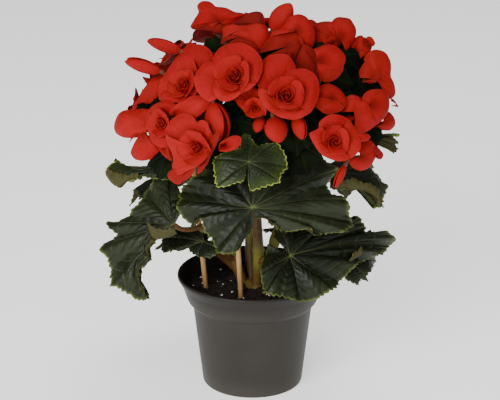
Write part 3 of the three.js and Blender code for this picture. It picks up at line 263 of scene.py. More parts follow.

# Petals drawn one by one: the azimuth and elevation of the plane they are drawn in, BLOOM_DEPTH
# behind the bloom's face, then each petal from the back one to the foremost: 1 where the upper side
# shows, down to 0 for the lower side's deeper red, partly its own colour and partly painted shade
# on petals that lie in shadow, then x and y, to the right and up in half millimetres, of its claw
# and of each point of its margin
PETALS = {
    1: (-24, 6, [
        (0.8, 36, 5, 34, 1, 36, 10, 48, 20, 61, 26, 69, 24, 71, 18, 67, 8, 56, 1, 43, -2, 35, -2),
        (1, -4, 0, -59, 14, -57, 27, -50, 38, -39, 47, -23, 50, -11, 47, -3, 39, -2, 21),
        (1, 3, -2, -5, 39, 5, 45, 15, 43, 21, 33, 25, 22, 26, 7, 20, -9),
        (0.35, 8, -10, 25, 18, 30, 27, 38, 29, 36, 16, 29, 1, 23, -14, 17, -27, 9, -38, 2, -43),
        (0.5, -10, -20, -48, -45, -49, -51, -44, -58, -38, -63, -28, -63, -21, -57, -9, -48, -2, -39,
         0, -28),
        (1, 4, 0, -54, 17, -50, 4, -43, -11, -40, -24, -43, -36, -39, -45, -25, -46, -13, -38, 0, -31,
         11, -23, 21, -11, 27, 3),
    ]),
    2: (-14, 36, [
        (1, -12, -7, -33, 24, -46, 27, -58, 19, -65, 5, -65, -11, -58, -26, -47, -36, -36, -41, -26, -36,
         -18, -27),
        (1, -2, -1, -41, 20, -41, 34, -36, 46, -25, 54, -10, 58, 5, 58, 19, 53, 30, 45, 38, 34, 41, 22,
         41, 8, 37, -5, 29, -12),
        (0.8, 4, -2, 13, 27, 23, 21, 30, 9, 30, -2, 25, -12, 15, -17),
        (1, 0, -7, -30, -12, -30, -24, -26, -33, -19, -40, -9, -42, 0, -39, 9, -34, 17, -27, 29, -20,
         37, -11),
    ]),
    3: (8, 38, [
        (1, -9, 8, -39, 9, -42, 25, -42, 43, -36, 60, -26, 71, -14, 75, 0, 75, 11, 71, 19, 61, 22, 48,
         17, 33),
        (1, -1, 0, -42, 18, -42, 4, -37, -9, -29, -21, -18, -31, -5, -36, 12, -37, 28, -32, 40, -23,
         48, -11),
        (1, -1, 4, -6, 22, -2, 33, 7, 43, 23, 47, 38, 44, 49, 36, 55, 22, 54, 6, 48, -9, 36, -20, 23, -21),
    ]),
    4: (14, 20, [
        (0.8, 6, 2, 39, 6, 52, 9, 59, 7, 62, 2, 58, -2, 47, -4),
        (1, 1, 2, -22, 22, -20, 32, -13, 38, -4, 42, 7, 42, 18, 39, 27, 34, 34, 25, 38, 17, 40, 9),
        (1, 2, 1, 26, 33, 33, 25, 38, 16, 42, 4, 44, -6, 42, -14, 35, -23, 26, -29, 14, -32, 4, -30),
        (1, -4, 1, -18, 24, -31, 19, -40, 15, -37, 5, -32, -5, -26, -15, -18, -23, -7, -29, 3, -32, 14, -32,
         23, -27),
    ]),
    5: (-4, 6, [
        (1, -2, 5, -33, 10, -32, 23, -23, 32, -8, 34, 2, 29, 12, 17, 19, 4, 17, -1),
        (0.85, -3, 9, -33, 15, -27, 2, -18, -6, -6, -10, 6, -8, 16, -1, 20, 5),
    ]),
    6: (-30, 36, [
        (0.8, 7, 24, -31, 64, -23, 73, -8, 75, 7, 75, 19, 70, 27, 62, 29, 52, 22, 45, 16, 34, 13, 25),
        (1, -4, -7, -41, -27, -46, -11, -47, 7, -44, 23, -39, 42, -31, 57, -23, 64, -12, 61, 1, 47, 11, 32,
         18, 16, 22, 0, 19, -11),
        (1, -4, -3, -39, -18, -38, -28, -24, -29, -8, -28, 7, -27, 18, -19, 26, -10, 25, 3),
    ]),
    7: (-25, 12, [
        (0.9, 15, 2, -13, -23, -9, -14, 9, -6, 27, -8, 38, -18, 45, -29, 36, -39, 24, -46, 9, -49, -2, -47,
         -9, -39),
        (1, 27, 16, 21, 37, 7, 36, -9, 33, -25, 30, -37, 23, -44, 13, -45, 1, -40, -9, -27, -14, -10, -14,
         7, -10, 21, -4),
    ]),
    8: (-25, 14, [
        (0.55, -3, -29, -10, -36, -5, -42, 1, -49, 9, -55, 18, -58, 16, -45, 10, -34),
        (0.9, -4, 7, -30, 3, -30, 14, -24, 24, -15, 31, -4, 36, 8, 36, 18, 30, 18, 18),
        (1, 1, 4, -30, 15, -32, 3, -29, -12, -23, -23, -15, -32, -5, -38, 7, -38, 16, -30, 18, -15, 17, -3),
        (1, 13, 12, 10, 20, 17, 29, 29, 39, 44, 48, 61, 52, 74, 50, 78, 44, 73, 33, 64, 22, 51, 13, 35, 8,
         18, 7),
    ]),
    9: (-30, 25, [
        (0.9, 19, -39, -3, -68, -14, -57, -12, -42, -6, -27, 1, -11, 8, 3, 18, 11, 32, 12, 39, -2, 37, -24,
         35, -43),
    ]),
    12: (20, 30, [
        (0.5, -5, -1, -25, -8, -25, -15, -24, -22, -17, -27, -5, -26, 7, -21, 14, -14),
        (1, -29, 6, -27, 28, -16, 31, -4, 34, 8, 31, 16, 25, 23, 16, 25, 7, 22, -1, 15, -14, 8, -15,
         -8, -12, -24, -14, -28, -8),
    ]),
    13: (26, 34, [
        (0.9, 3, -2, -21, 5, -16, 16, -6, 24, 10, 26, 24, 20, 31, 10, 35, -3, 30, -15),
        (0.85, 2, -2, -27, 5, -26, -3, -21, -12, -14, -20, -4, -24, 6, -24, 17, -22, 27, -15),
    ]),
    14: (26, 20, [
        (0.9, 34, 16, 23, 29, 30, 36, 38, 40, 53, 41, 68, 37, 77, 25, 75, 12, 69, 1, 53, -11, 43, -16,
         37, -9),
        (1, 1, 10, -17, 12, -13, 26, -5, 34, 3, 37, 15, 34, 24, 28, 33, 26, 41, 16, 46, 4, 46, -6, 42, -15,
         31, -21, 18, -26, 6, -26, 0, -17),
    ]),
    15: (30, 24, [
        (0.9, -3, -9, -13, 30, 0, 42, 12, 44, 23, 41, 31, 35, 36, 26, 37, 15, 36, 5, 34, -5, 36, -15,
         36, -24, 32, -34, 23, -40, 10, -29),
        (0.6, -11, -5, -31, 1, -29, 11, -20, 22, -9, 30, 4, 36, 11, 26, 15, 13, 14, -3, 2, -9, -12, -10,
         -25, -6),
    ]),
    16: (35, 6, [
        (0.9, -15, 4, -7, 15, 4, 20, 13, 12, 17, 1, 16, -7, 10, -12, -1, -11, -14, -7, -23, 0),
        (0.4, 15, 31, 9, 37, 11, 41, 17, 33, 23, 25, 17, 27, 10, 29),
    ]),
    17: (30, -4, [
        (0.8, 13, -4, 11, 14, 20, 10, 29, 1, 35, -8, 32, -15, 22, -12),
        (1, -17, 2, -18, 15, -9, 21, 5, 22, 18, 8, 22, -10, 17, -21, 6, -28, -7, -28, -24, -20, -32, -9,
         -31, -3),
    ]),
    19: (-20, 34, [
        (0.25, 2, 1, -40, -3, -36, -7, -19, -7, 1, -8, 16, -9, 23, -3, 24, 4, 11, 7),
        (0.05, 45, 5, 32, 5, 43, 15, 60, 26, 71, 33, 78, 32, 85, 23, 88, 11, 76, 8, 58, 4),
        (1, 16, 3, 2, -5, -19, 1, -39, -5, -39, 0, -35, 10, -30, 22, -34, 33, -28, 40, -18, 42, -9, 39,
         0, 33, 8, 33, 20, 32, 33, 28, 45, 27, 55, 24, 46, 16, 36, 6, 27, 1),
    ]),
    20: (-8, 44, [
        (0.3, -6, 3, -40, -4, -39, 5, -28, 10, -11, 8, 8, 0, 27, -12, 24, -17, 11, -13, -9, -6, -28, -5),
        (1, -1, 18, -37, 4, -39, 18, -38, 26, -29, 30, -14, 28, 4, 31, 16, 34, 28, 33, 36, 23, 40, 11,
         35, 0, 27, -13, 17, -7, 1, 0, -15, 5, -29, 6),
    ]),
    21: (8, 18, [
        (0.95, 10, 33, -33, 27, -28, 34, -11, 41, 0, 56, 14, 61, 26, 58, 34, 49, 39, 39, 40, 23, 36, 8,
         24, 5),
        (0.3, -4, 9, -51, 0, -46, 9, -37, 18, -30, 28, -11, 32, 7, 34, 17, 32, 23, 22, 21, 8, 14, -7,
         1, -14, -20, -11, -41, -5),
        (0.35, 17, 8, 9, 28, 18, 26, 22, 16, 30, 9, 38, 1, 42, -6, 45, -15, 46, -30, 45, -45, 40, -49,
         33, -40, 22, -34, 10, -28, 7, -12),
    ]),
    22: (18, 36, [
        (0.95, -2, -3, -42, 5, -42, 20, -37, 34, -26, 37, -14, 38, -3, 36, 4, 27, 8, 10),
        (1, 0, -1, -7, 30, 3, 40, 11, 43, 21, 42, 29, 38, 33, 29, 35, 19, 33, 8, 29, -1, 22, -7, 15, -16,
         9, -18),
        (0.9, -17, 6, -46, 15, -46, 4, -41, -7, -32, -11, -22, -7, -11, -2, -1, 0),
    ]),
    24: (20, 40, [
        (0.85, -19, -6, -35, -13, -29, 1, -17, 13, -9, 18, -2, 18, 0, 14, 0, 8, 7, 5, 10, -1, 9, -6,
         5, -12),
        (0.8, -18, -7, -35, -5, -38, -13, -35, -21, -24, -25, -13, -22, -3, -19, 5, -13),
    ]),
}
HEARTED = (1, 2, 3, 4, 5, 6, 8, 24)  # blooms with drawn petals and a furled heart as well
BEHIND = (11, 23, 25, 26, 27, 28, 29)  # blooms that keep small, under the others
BEHIND_SHARE = 0.76  # of their radius

# x, y and z of the root, azimuth and elevation of the tip, length, width, spin, parting
BUDS = [
    (-74, -32, 287, -104, 15, 31, 11, 80, 9), (-58, -16, 300, -106, 14, 30, 11, 80, 3),
    (16, -16, 317, 92, 56, 27, 18, 80, 2), (-31, -76, 274, 60, -76, 31, 23, 112, 12),
    (16, -76, 262, 40, -66, 21, 20, 10, 1), (34, -74, 263, 40, -62, 20, 13, 80, 5),
    (7, -70, 260, -30, -50, 13, 10, 0, 1), (74, -76, 222, -60, -60, 20, 9, 60, 3),
]


# ---------------------------------------------------------------- small helpers
def mix(a, b, share):
    return a + (b - a) * share


def ease(x, low, high):
    t = np.clip((x - low) / (high - low), 0, 1)
    return t * t * (3 - 2 * t)


def unit(v):
    v = np.asarray(v, float)
    return v / np.linalg.norm(v)


def facing(azimuth, elevation):
    a, e = math.radians(azimuth), math.radians(elevation)
    return np.array([math.sin(a) * math.cos(e), -math.cos(a) * math.cos(e), math.sin(e)])


def circle(sides):
    return np.arange(sides) * 2 * math.pi / sides


def draws_from(seed):
    """The same random draws, from 0 to 1, as the solids use."""
    state = seed * 7919 + 17
    while True:
        state = state * 16807 % 2147483647
        yield state / 2147483647


def placed(origin, along, spin=0.0):
    """Axes (as columns) and origin of a piece that stands on origin and points along."""
    side = np.array([1.0, 0, 0]) if abs(along[2]) > 0.9999 else unit(np.cross((0, 0, 1), along))
    up = np.cross(along, side)
    c, s = math.cos(spin), math.sin(spin)
    return np.column_stack([side * c + up * s, up * c - side * s, along]), np.asarray(origin, float)


def linked(name, data):
    made = bpy.data.objects.new(name, data)
    bpy.context.scene.collection.objects.link(made)
    return made


# ---------------------------------------------------------------- meshes
class Body:
    """Closed bodies that make up one piece: points in mm, faces, and one value per point and name."""

    def __init__(self):
        self.points, self.faces, self.values, self.count = [], [], {}, 0

    def add(self, points, faces, **values):
        points = np.asarray(points, float).reshape(-1, 3)
        self.points.append(points)
        self.faces += [tuple(i + self.count for i in f) for f in faces]
        for name, value in values.items():
            self.values.setdefault(name, []).append(np.broadcast_to(value, len(points)).astype(float))
        self.count += len(points)

    def add_sheet(self, points, half, upper, pinched=False, **values):
        """A thin sheet round a grid of points. upper: how far either face counts as the upper one."""
        sheet, faces = thin_sheet(points, half, pinched)
        grid = points.shape[:2]
        spread = {name: np.tile(np.broadcast_to(value, grid).ravel(), 2) for name, value in values.items()}
        self.add(sheet, faces, upper=np.repeat(upper, grid[0] * grid[1]), **spread)

    def piece(self, name, finish, nodes=(), axes=None):
        points = np.concatenate(self.points)
        if axes:
            points = points @ axes[0].T + axes[1]
        used = sorted({i for f in self.faces for i in f})
        renumber = np.zeros(len(points), int)
        renumber[used] = np.arange(len(used))
        mesh = bpy.data.meshes.new(name)
        mesh.from_pydata((points[used] * MM).tolist(), [],
                         [tuple(renumber[list(f)].tolist()) for f in self.faces])
        for key, parts in self.values.items():
            values = np.concatenate(parts)[used]
            mesh.attributes.new(key, "FLOAT", "POINT").data.foreach_set("value", values.astype(np.float32))
        mesh.shade_smooth()
        mesh.update()
        mesh.materials.append(finish)
        made = linked(name, mesh)
        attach(made, "root")
        if nodes:
            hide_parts(*nodes)
        return made


def grid_quads(index):
    a, b, c, d = index[:-1, :-1], index[1:, :-1], index[1:, 1:], index[:-1, 1:]
    return np.stack([a, b, c, d], -1).reshape(-1, 4)


def facings(points, pinched):
    """The way a grid of points faces at each of them. Pinched: its first column is one point."""
    normal = np.cross(np.gradient(points, axis=0), np.gradient(points, axis=1))
    if pinched:
        normal[:, 0] = normal[:, 1].mean(0)
    return normal / np.maximum(np.linalg.norm(normal, axis=2, keepdims=True), 1e-9)


def thin_sheet(points, half, pinched):
    """Both faces and the rim of a closed sheet, half thick to either side of a grid of points."""
    rows, columns = points.shape[:2]
    below = rows * columns
    index = np.arange(below).reshape(rows, columns)
    if pinched:
        index[:, 0] = index[0, 0]
    offset = facings(points, pinched) * np.broadcast_to(half, (rows, columns))[..., None]
    both = np.concatenate([(points + offset).reshape(-1, 3), (points - offset).reshape(-1, 3)])
    top = grid_quads(index)
    loop = np.concatenate([index[:-1, 0], index[-1, :-1], index[:0:-1, -1], index[0, :0:-1]])
    following = np.roll(loop, -1)
    rim = np.stack([following, loop, loop + below, following + below], -1)
    faces = np.concatenate([top, top[:, ::-1] + below, rim]).tolist()
    if pinched:
        faces = [f for f in (tuple(dict.fromkeys(f)) for f in faces) if len(f) > 2]
    return both, faces


def closed_rings(rings, first, last):
    """A closed body through rings of points, closed at either end round one more point."""
    rings = np.asarray(rings)
    count = rings.shape[0] * rings.shape[1]
    index = np.arange(count).reshape(rings.shape[:2])
    index = np.concatenate([index, index[:, :1]], 1)
    faces = grid_quads(index)[:, ::-1].tolist()
    ends = np.stack([index[0, :-1], index[0, 1:], index[-1, :-1], index[-1, 1:]], -1)
    for a, b, c, d in ends.tolist():
        faces += [(count, b, a), (count + 1, c, d)]
    return np.concatenate([rings.reshape(-1, 3), [first, last]]), faces


def swept(line, radii, sides, rounded=True):
    """A closed round bar along a line of points. Returns its points, faces, the distance of each
    point from the start and its turn round the bar.
    """
    line, radii = np.asarray(line, float), np.asarray(radii, float)
    if rounded:
        start, end = unit(line[0] - line[1]), unit(line[-1] - line[-2])
        steps = np.radians([75, 50, 25])
        line = np.concatenate([[line[0] + start * radii[0] * math.sin(t) for t in steps], line,
                               [line[-1] + end * radii[-1] * math.sin(t) for t in steps[::-1]]])
        radii = np.concatenate([radii[0] * np.cos(steps), radii, radii[-1] * np.cos(steps[::-1])])
    run = np.gradient(line, axis=0)
    run /= np.linalg.norm(run, axis=1, keepdims=True)
    side = unit(np.cross(run[0], (0.3, 0.9, 0.1)))
    rings, turn = [], circle(sides)
    for centre, way, radius in zip(line, run, radii):
        side = unit(side - way * (side @ way))
        other = np.cross(way, side)
        rings.append(centre + radius * (np.cos(turn)[:, None] * side + np.sin(turn)[:, None] * other))
    points, faces = closed_rings(rings, line[0], line[-1])
    lengths = np.concatenate([[0], np.cumsum(np.linalg.norm(np.diff(line, axis=0), axis=1))])
    far = np.concatenate([np.repeat(lengths, sides), [0, lengths[-1]]])
    return points, faces, far, np.concatenate([np.tile(turn, len(line)), [0, 0]])


def ring(radius, height, turn):
    """A level ring of points. height: one for them all, or one each."""
    return np.stack([radius * np.cos(turn), radius * np.sin(turn), height + 0 * turn], -1)


def lathe(profile, sides):
    """A closed turned body. The profile starts and ends on the axis."""
    rings = [ring(radius, height, circle(sides)) for radius, height in profile[1:-1]]
    return closed_rings(rings, (0, 0, profile[0][1]), (0, 0, profile[-1][1]))


def softened(profile, reach):
    """The profile with each corner drawn as a small curve that starts reach before it."""
    profile = np.asarray(profile, float)
    out = [profile[0]]
    for before, corner, after in zip(profile, profile[1:], profile[2:]):
        a, b = (corner + unit(end - corner) * min(reach, np.linalg.norm(end - corner) * 0.45)
                for end in (before, after))
        out += [(1 - t) ** 2 * a + 2 * t * (1 - t) * corner + t * t * b for t in np.linspace(0, 1, 5)]
    return np.array([*out, profile[-1]])


# ---------------------------------------------------------------- shaders
def paint(code):
    """A linear colour from six hex digits."""
    parts = [int(code[i:i + 2], 16) / 255 for i in (0, 2, 4)]
    return (*[p / 12.92 if p <= 0.04045 else ((p + 0.055) / 1.055) ** 2.4 for p in parts], 1.0)


class Value:
    """A shader node's output; an expression on values adds its Math nodes."""

    def __init__(self, finish, socket):
        self.finish, self.socket = finish, socket

    def __add__(self, other):
        return self.finish.math("ADD", self, other)

    def __sub__(self, other):
        return self.finish.math("SUBTRACT", self, other)

    def __rsub__(self, other):
        return self.finish.math("SUBTRACT", other, self)

    def __mul__(self, other):
        return self.finish.math("MULTIPLY", self, other)

    def __truediv__(self, other):
        return self.finish.math("DIVIDE", self, other)

    def __abs__(self):
        return self.finish.math("ABSOLUTE", self)

    __radd__ = __add__


class Finish:
    """One procedural material."""

    def __init__(self, name, **constants):
        self.material = bpy.data.materials.new(name)
        self.material.use_nodes = True
        self.tree = self.material.node_tree
        self.shader = self.tree.nodes["Principled BSDF"]
        self.paint(**constants)

    def node(self, kind, settings=None, output=0, **sockets):
        made = self.tree.nodes.new("ShaderNode" + kind)
        for key, value in (settings or {}).items():
            setattr(made, key, value)
        for key, value in sockets.items():
            self.plug(made.inputs[int(key[1:]) if key[1:].isdigit() else key.replace("_", " ")], value)
        return Value(self, made.outputs[output])

    def plug(self, socket, value):
        """Links a value, or sets a number or a colour, which may be written as hex digits."""
        if isinstance(value, Value):
            self.tree.links.new(value.socket, socket)
        else:
            socket.default_value = paint(value) if isinstance(value, str) else value

    def math(self, operation, *values):
        return self.node("Math", {"operation": operation}, **{f"_{k}": v for k, v in enumerate(values)})

    def attributes(self, *names):
        return [self.node("Attribute", {"attribute_name": name}, output=2) for name in names]

    def place(self):
        return self.node("TexCoord", output=3)

    def ease(self, value, low, high):
        settings = {"interpolation_type": "SMOOTHSTEP"}
        return self.node("MapRange", settings, Value=value, From_Min=low, From_Max=high)

    def blend(self, share, first, second):
        return self.node("Mix", {"data_type": "RGBA"}, output=2, _0=share, _6=first, _7=second)

    def coats(self, colour, *coats):
        """A colour under coats of others, each given as its share and its colour."""
        for share, coat in coats:
            colour = self.blend(share, colour, coat)
        return colour

    def noise(self, vector, scale, detail, roughness=0.55):
        return self.node("TexNoise", Vector=vector, Scale=scale, Detail=detail, Roughness=roughness)

    def vector(self, x, y, z):
        return self.node("CombineXYZ", X=x, Y=y, Z=z)

    def grain(self, around, far, tight, stretch):
        """Where a point of a bar lies, for a grain that runs along the bar."""
        x, y = self.math("COSINE", around), self.math("SINE", around)
        return self.vector(x * tight, y * tight, far * stretch)

    def bump(self, height, distance, strength):
        return self.node("Bump", Height=height, Distance=distance, Strength=strength)

    def paint(self, **sockets):
        for key, value in sockets.items():
            self.plug(self.shader.inputs[key.replace("_", " ")], value)
        return self.material


def petal_finish():
    f = Finish("petal_red", Specular_IOR_Level=0.04)
    along, across, upper, heart, tone = f.attributes("along", "across", "upper", "heart", "tone")
    fibres = f.noise(f.vector(across * 14, along * 1.1, tone * 31), 3.0, 4.0)
    cloud = f.noise(f.place(), 60.0, 2.0)
    rim = f.ease(f.math("MAXIMUM", abs(across), along), 0.95, 1.0)
    # painted shade: the red deepens towards the claw and the heart, where shade falls between the petals
    painted_claw_shade = f.ease(along + (fibres - 0.5) * 0.3, 0.0, 0.55)
    colour = f.coats(
        f.blend(painted_claw_shade, "5c0b0a", "8f1617"),
        (f.ease(cloud * 0.6 + tone * 0.6, 0.35, 0.85) * 0.7, "981d1a"),
        (f.ease(fibres, 0.5, 0.7) * 0.42, "6c0f0d"),
        # the lower side's duller red; on drawn petals given less than 1 it is also painted shade for petals
        # in shadow
        ((1 - upper) * 0.85, "631512"),
        (rim * (0.22 + heart * 0.2), "aa372c"))
    normal = f.bump(fibres * 1.2 + cloud * 0.4, 0.0007, 0.5)
    return f.paint(Base_Color=colour, Roughness=0.55 + (cloud - 0.5) * 0.2, Normal=normal)


def leaf_finish():
    f = Finish("leaf_green", Specular_IOR_Level=0.17)
    share, span, vein, upper, youth, pale = f.attributes("share", "span", "vein", "upper", "youth", "pale")
    place = f.place()
    cloud = f.noise(place, 38.0, 3.0)
    cells = f.node("TexVoronoi", {"feature": "DISTANCE_TO_EDGE"}, Vector=place, Scale=300.0)
    puckers = f.ease(cells, 0.0, 0.35)
    main = 1 - f.ease(vein / (1.3 - share), 0.2, 0.85)
    chevron = f.math("FRACT", share * CHEVRONS - span * CHEVRON_SLANT + (cloud - 0.5) * 0.35)
    side_vein = (1 - f.ease(abs(chevron - 0.5), 0.02, 0.09)) * f.ease(share, 0.12, 0.3)
    side_vein = side_vein * (1 - f.ease(share, 0.9, 0.98)) * 0.5
    veins = f.math("MAXIMUM", main, side_vein)
    rim = f.ease(share + (cloud - 0.5) * 0.05, 0.95, 0.992)
    blade_colour = f.coats(
        f.blend(f.ease(cloud, 0.35, 0.7), "080a05", "0f130a"),
        (youth * 0.3, "2b3a14"),
        (f.ease(share, 0.5, 1.0) * (0.12 + youth * 0.5), "3d4c1c"),
        ((1 - puckers) * 0.35, "161c0e"),
        # painted sheen: a paler grey green standing in for the gloss of the light on the blade
        (pale * f.ease(cloud, 0.3, 0.62), "262c1a"),
        (veins * 0.4, "444a25"),
        ((1 - f.ease(share, 0.0, 0.07)) * 0.6, "5f6a30"),
        (rim * (0.14 + youth * 0.8), "8c983e"))
    under = f.coats(f.blend(f.ease(cloud, 0.3, 0.7), "28260f", "3c3818"),
                    (veins * 0.5, "57512a"), (youth * 0.4, "484720"))
    height = (puckers * 0.14 - veins * 0.6 + cloud * 0.5) * (upper * 2 - 1)
    rough = 0.4 + (cloud - 0.5) * 0.2 + (1 - upper) * 0.2
    return f.paint(Base_Color=f.blend(upper, under, blade_colour), Roughness=rough,
                   Normal=f.bump(height, 0.0009, 0.75))


def painted_shade_leaf_finish():
    f = Finish("leaf_painted_shade", Specular_IOR_Level=0.04)
    vein, cloud = (*f.attributes("vein"), f.noise(f.place(), 38.0, 3.0))
    # painted shade: a near black green for leaves that lie in the shadow of the blooms
    painted_shade_green = f.coats(f.blend(f.ease(cloud, 0.35, 0.7), "060904", "101808"),
                   ((1 - f.ease(vein, 0.3, 1.2)) * 0.3, "1d2710"))
    return f.paint(Base_Color=painted_shade_green, Roughness=0.7, Normal=f.bump(cloud, 0.0008, 0.4))


def stem_finish():
    f = Finish("stem_flesh", Specular_IOR_Level=0.25)
    far, around, kind, knot = f.attributes("far", "around", "kind", "knot")
    streaks = f.noise(f.grain(around, far, 1.3, 0.05), 5.0, 4.0)
    cloud = f.noise(f.place(), 70.0, 2.0)
    flesh = f.coats(
        f.blend(f.ease(streaks * 0.6 + cloud * 0.4, 0.35, 0.65), "3f2b12", "62481f"),
        (f.ease(kind, 0.2, 1.0), "5c3b1b"),
        (f.ease(kind, 1.2, 2.0) * 0.7, "561f15"),
        (knot, "6b6a28"),
        (f.ease(streaks, 0.6, 0.75) * 0.3, "2e1c0e"))
    normal = f.bump(streaks + cloud * 0.3, 0.0008, 0.5)
    return f.paint(Base_Color=flesh, Roughness=0.42 + streaks * 0.2, Normal=normal)


def cane_finish():
    f = Finish("cane_wood", Specular_IOR_Level=0.25)
    far, around = f.attributes("far", "around")
    grain = f.noise(f.grain(around, far, 3, 0.02), 4.0, 5.0)
    damp = 1 - f.ease(far + grain * 14, 42.0, 92.0)
    wood = f.coats(f.blend(f.ease(grain, 0.35, 0.65), "a07845", "d2a86c"),
                   (f.ease(grain, 0.62, 0.72) * 0.5, "6e4522"), (damp * 0.8, "3a2818"))
    return f.paint(Base_Color=wood, Roughness=0.6 + grain * 0.2, Normal=f.bump(grain, 0.0006, 0.6))


def pot_finish():
    f = Finish("pot_plastic", Specular_IOR_Level=0.16)
    place = f.place()
    grain, cloud = f.noise(place, 900.0, 2.0), f.noise(place, 22.0, 4.0)
    height = f.node("SeparateXYZ", output=2, Vector=place)
    plastic = f.coats(
        f.blend(f.ease(cloud, 0.3, 0.7), "2b2825", "312e2a"),
        # painted shade: darker from the band up to the rim, as though in the shadow of the leaves over it
        (f.ease(height, 0.078, 0.092) * 0.6, "181615"),
        ((1 - f.ease(height + (cloud - 0.5) * 0.02, 0.0, 0.02)) * 0.35, "48443e"),
        (f.ease(grain, 0.6, 0.8) * 0.12, "4b4741"))
    normal = f.bump(grain * 0.5 + cloud, 0.0003, 0.4)
    return f.paint(Base_Color=plastic, Roughness=0.5 + (cloud - 0.5) * 0.2, Normal=normal)


def peat_finish():
    f = Finish("peat", Specular_IOR_Level=0.25)
    place = f.place()
    crumbs, fine = f.noise(place, 260.0, 5.0, 0.65), f.noise(place, 1100.0, 2.0)
    peat = f.coats(f.blend(f.ease(crumbs, 0.35, 0.7), "0d0a08", "2a2019"),
                   (f.ease(fine, 0.62, 0.8) * 0.5, "4a3a2a"))
    normal = f.bump(crumbs + fine * 0.4, 0.0025, 0.9)
    return f.paint(Base_Color=peat, Roughness=0.85 + crumbs * 0.1, Normal=normal)


def perlite_finish():
    f = Finish("perlite", Specular_IOR_Level=0.3)
    pores = f.noise(f.place(), 1400.0, 3.0)
    return f.paint(Base_Color=f.blend(f.ease(pores, 0.35, 0.6), "8d8170", "cfc6b4"),
                   Roughness=0.8 + pores * 0.1, Normal=f.bump(pores, 0.0006, 0.6))


def floor_finish():
    f = Finish("pale_floor", Specular_IOR_Level=0.1, Roughness=0.9, Emission_Strength=0.85,
               Emission_Color="ffffff")
    return f.paint(Base_Color=f.blend(f.noise(f.place(), 30.0, 2.0), "f2f1ef", "f5f4f2"))


# ---------------------------------------------------------------- the pot
def make_pot(finish):
    p = POT
    under = p["floor"] + p["channel_height"]
    outside = [
        (0, 0), (p["pad"], 0), (p["pad"] + 2, p["channel_height"]), (p["channel"], p["channel_height"]),
        (p["channel"] + 1.5, 0), (p["foot"] - 1, 0), (p["foot"], 1.5),
        p["shoulder"], (p["shoulder"][0] + 1.8, p["shoulder"][1] + 1), p["band"], p["lip"],
        (p["rim"], p["height"] - 2.2), (p["rim"] - 0.6, p["height"]),
    ]
    inside = [
        (p["rim"] - 2.4, p["height"] - 0.3), (p["lip"][0] - p["wall"], p["lip"][1]),
        (p["band"][0] - p["wall"], p["band"][1] + 1), (p["shoulder"][0] - p["wall"], p["shoulder"][1]),
        (p["foot"] - p["wall"], under), (p["pad"] + 1, under), (p["pad"] - 1, p["floor"]), (0, p["floor"]),
    ]
    body = Body()
    body.add(*lathe(softened(outside + inside, POT_CORNER), POT_SIDES))
    pot = body.piece("begonia_pot", finish, ["pot"])
    cutters = []
    for k in range(p["notches"]):
        turn = p["notch_turn"] + 360 * k / p["notches"]
        way = facing(turn, 0)
        side = np.array([-way[1], way[0], 0])
        middle = way * (p["channel"] + 0.5 + p["notch_depth"] / 2)
        corners = [middle + side * a * p["notch_width"] / 2 + way * b * p["notch_depth"] / 2
                   + (0, 0, c * p["notch_height"]) for a in (-1, 1) for b in (-1, 1) for c in (-1, 1)]
        cutters.append((corners, [(0, 1, 3, 2), (4, 6, 7, 5), (0, 4, 5, 1), (2, 3, 7, 6), (0, 2, 6, 4),
                                  (1, 5, 7, 3)]))
        drain = facing(turn + 180 / p["notches"], 0) * (p["pad"] + 2 + p["channel"]) / 2
        line = drain + np.outer((-9, 0, 9), (0, 0, 1))
        cutters.append(swept(line, [p["drain"]] * 3, 20, rounded=False)[:2])
    for points, faces in cutters:
        mesh = bpy.data.meshes.new("cutter")
        mesh.from_pydata((np.asarray(points) * MM).tolist(), [], faces)
        cutter = linked("cutter", mesh)
        modifier = pot.modifiers.new("cut", "BOOLEAN")
        modifier.operation, modifier.solver, modifier.object = "DIFFERENCE", "EXACT", cutter
        cut = bpy.data.meshes.new_from_object(pot.evaluated_get(bpy.context.evaluated_depsgraph_get()))
        pot.modifiers.clear()
        pot.data = cut
        bpy.data.objects.remove(cutter)
    pot.data.set_sharp_from_angle(angle=math.radians(50))


# ---------------------------------------------------------------- the soil
def soil_height(x, y):
    """The height of the peat: broad lumps, a mound round the crown, and fine lumps."""
    lumps = np.sin(x * 0.31 + 1) * np.cos(y * 0.27) + 0.6 * np.sin(x * 0.13 - y * 0.44)
    near = np.hypot(x - CROWN[0], y - CROWN[1])
    mound = 5 * np.exp(-((near / 19) ** 2))
    fine = 0.5 * np.sin(x * 0.9 + 2 * np.sin(y * 0.7)) * np.sin(y * 1.1 + x * 0.3)
    return SOIL_LEVEL + lumps + mound + fine


def on_soil(radius, turn):
    """The point of the peat's surface at a distance from the pot's axis and a turn round it."""
    x, y = radius * math.cos(turn), radius * math.sin(turn)
    return np.array([x, y, soil_height(x, y)])


def wall_radius(height):
    """How far the soil reaches inside the pot's wall at a height."""
    if height <= POT["shoulder"][1]:
        low, high = (POT["foot"], POT["floor"] + POT["channel_height"]), POT["shoulder"]
    else:
        low, high = POT["band"], POT["lip"]
    return mix(low[0], high[0], (height - low[1]) / (high[1] - low[1])) - POT["wall"] - 2 * GAP


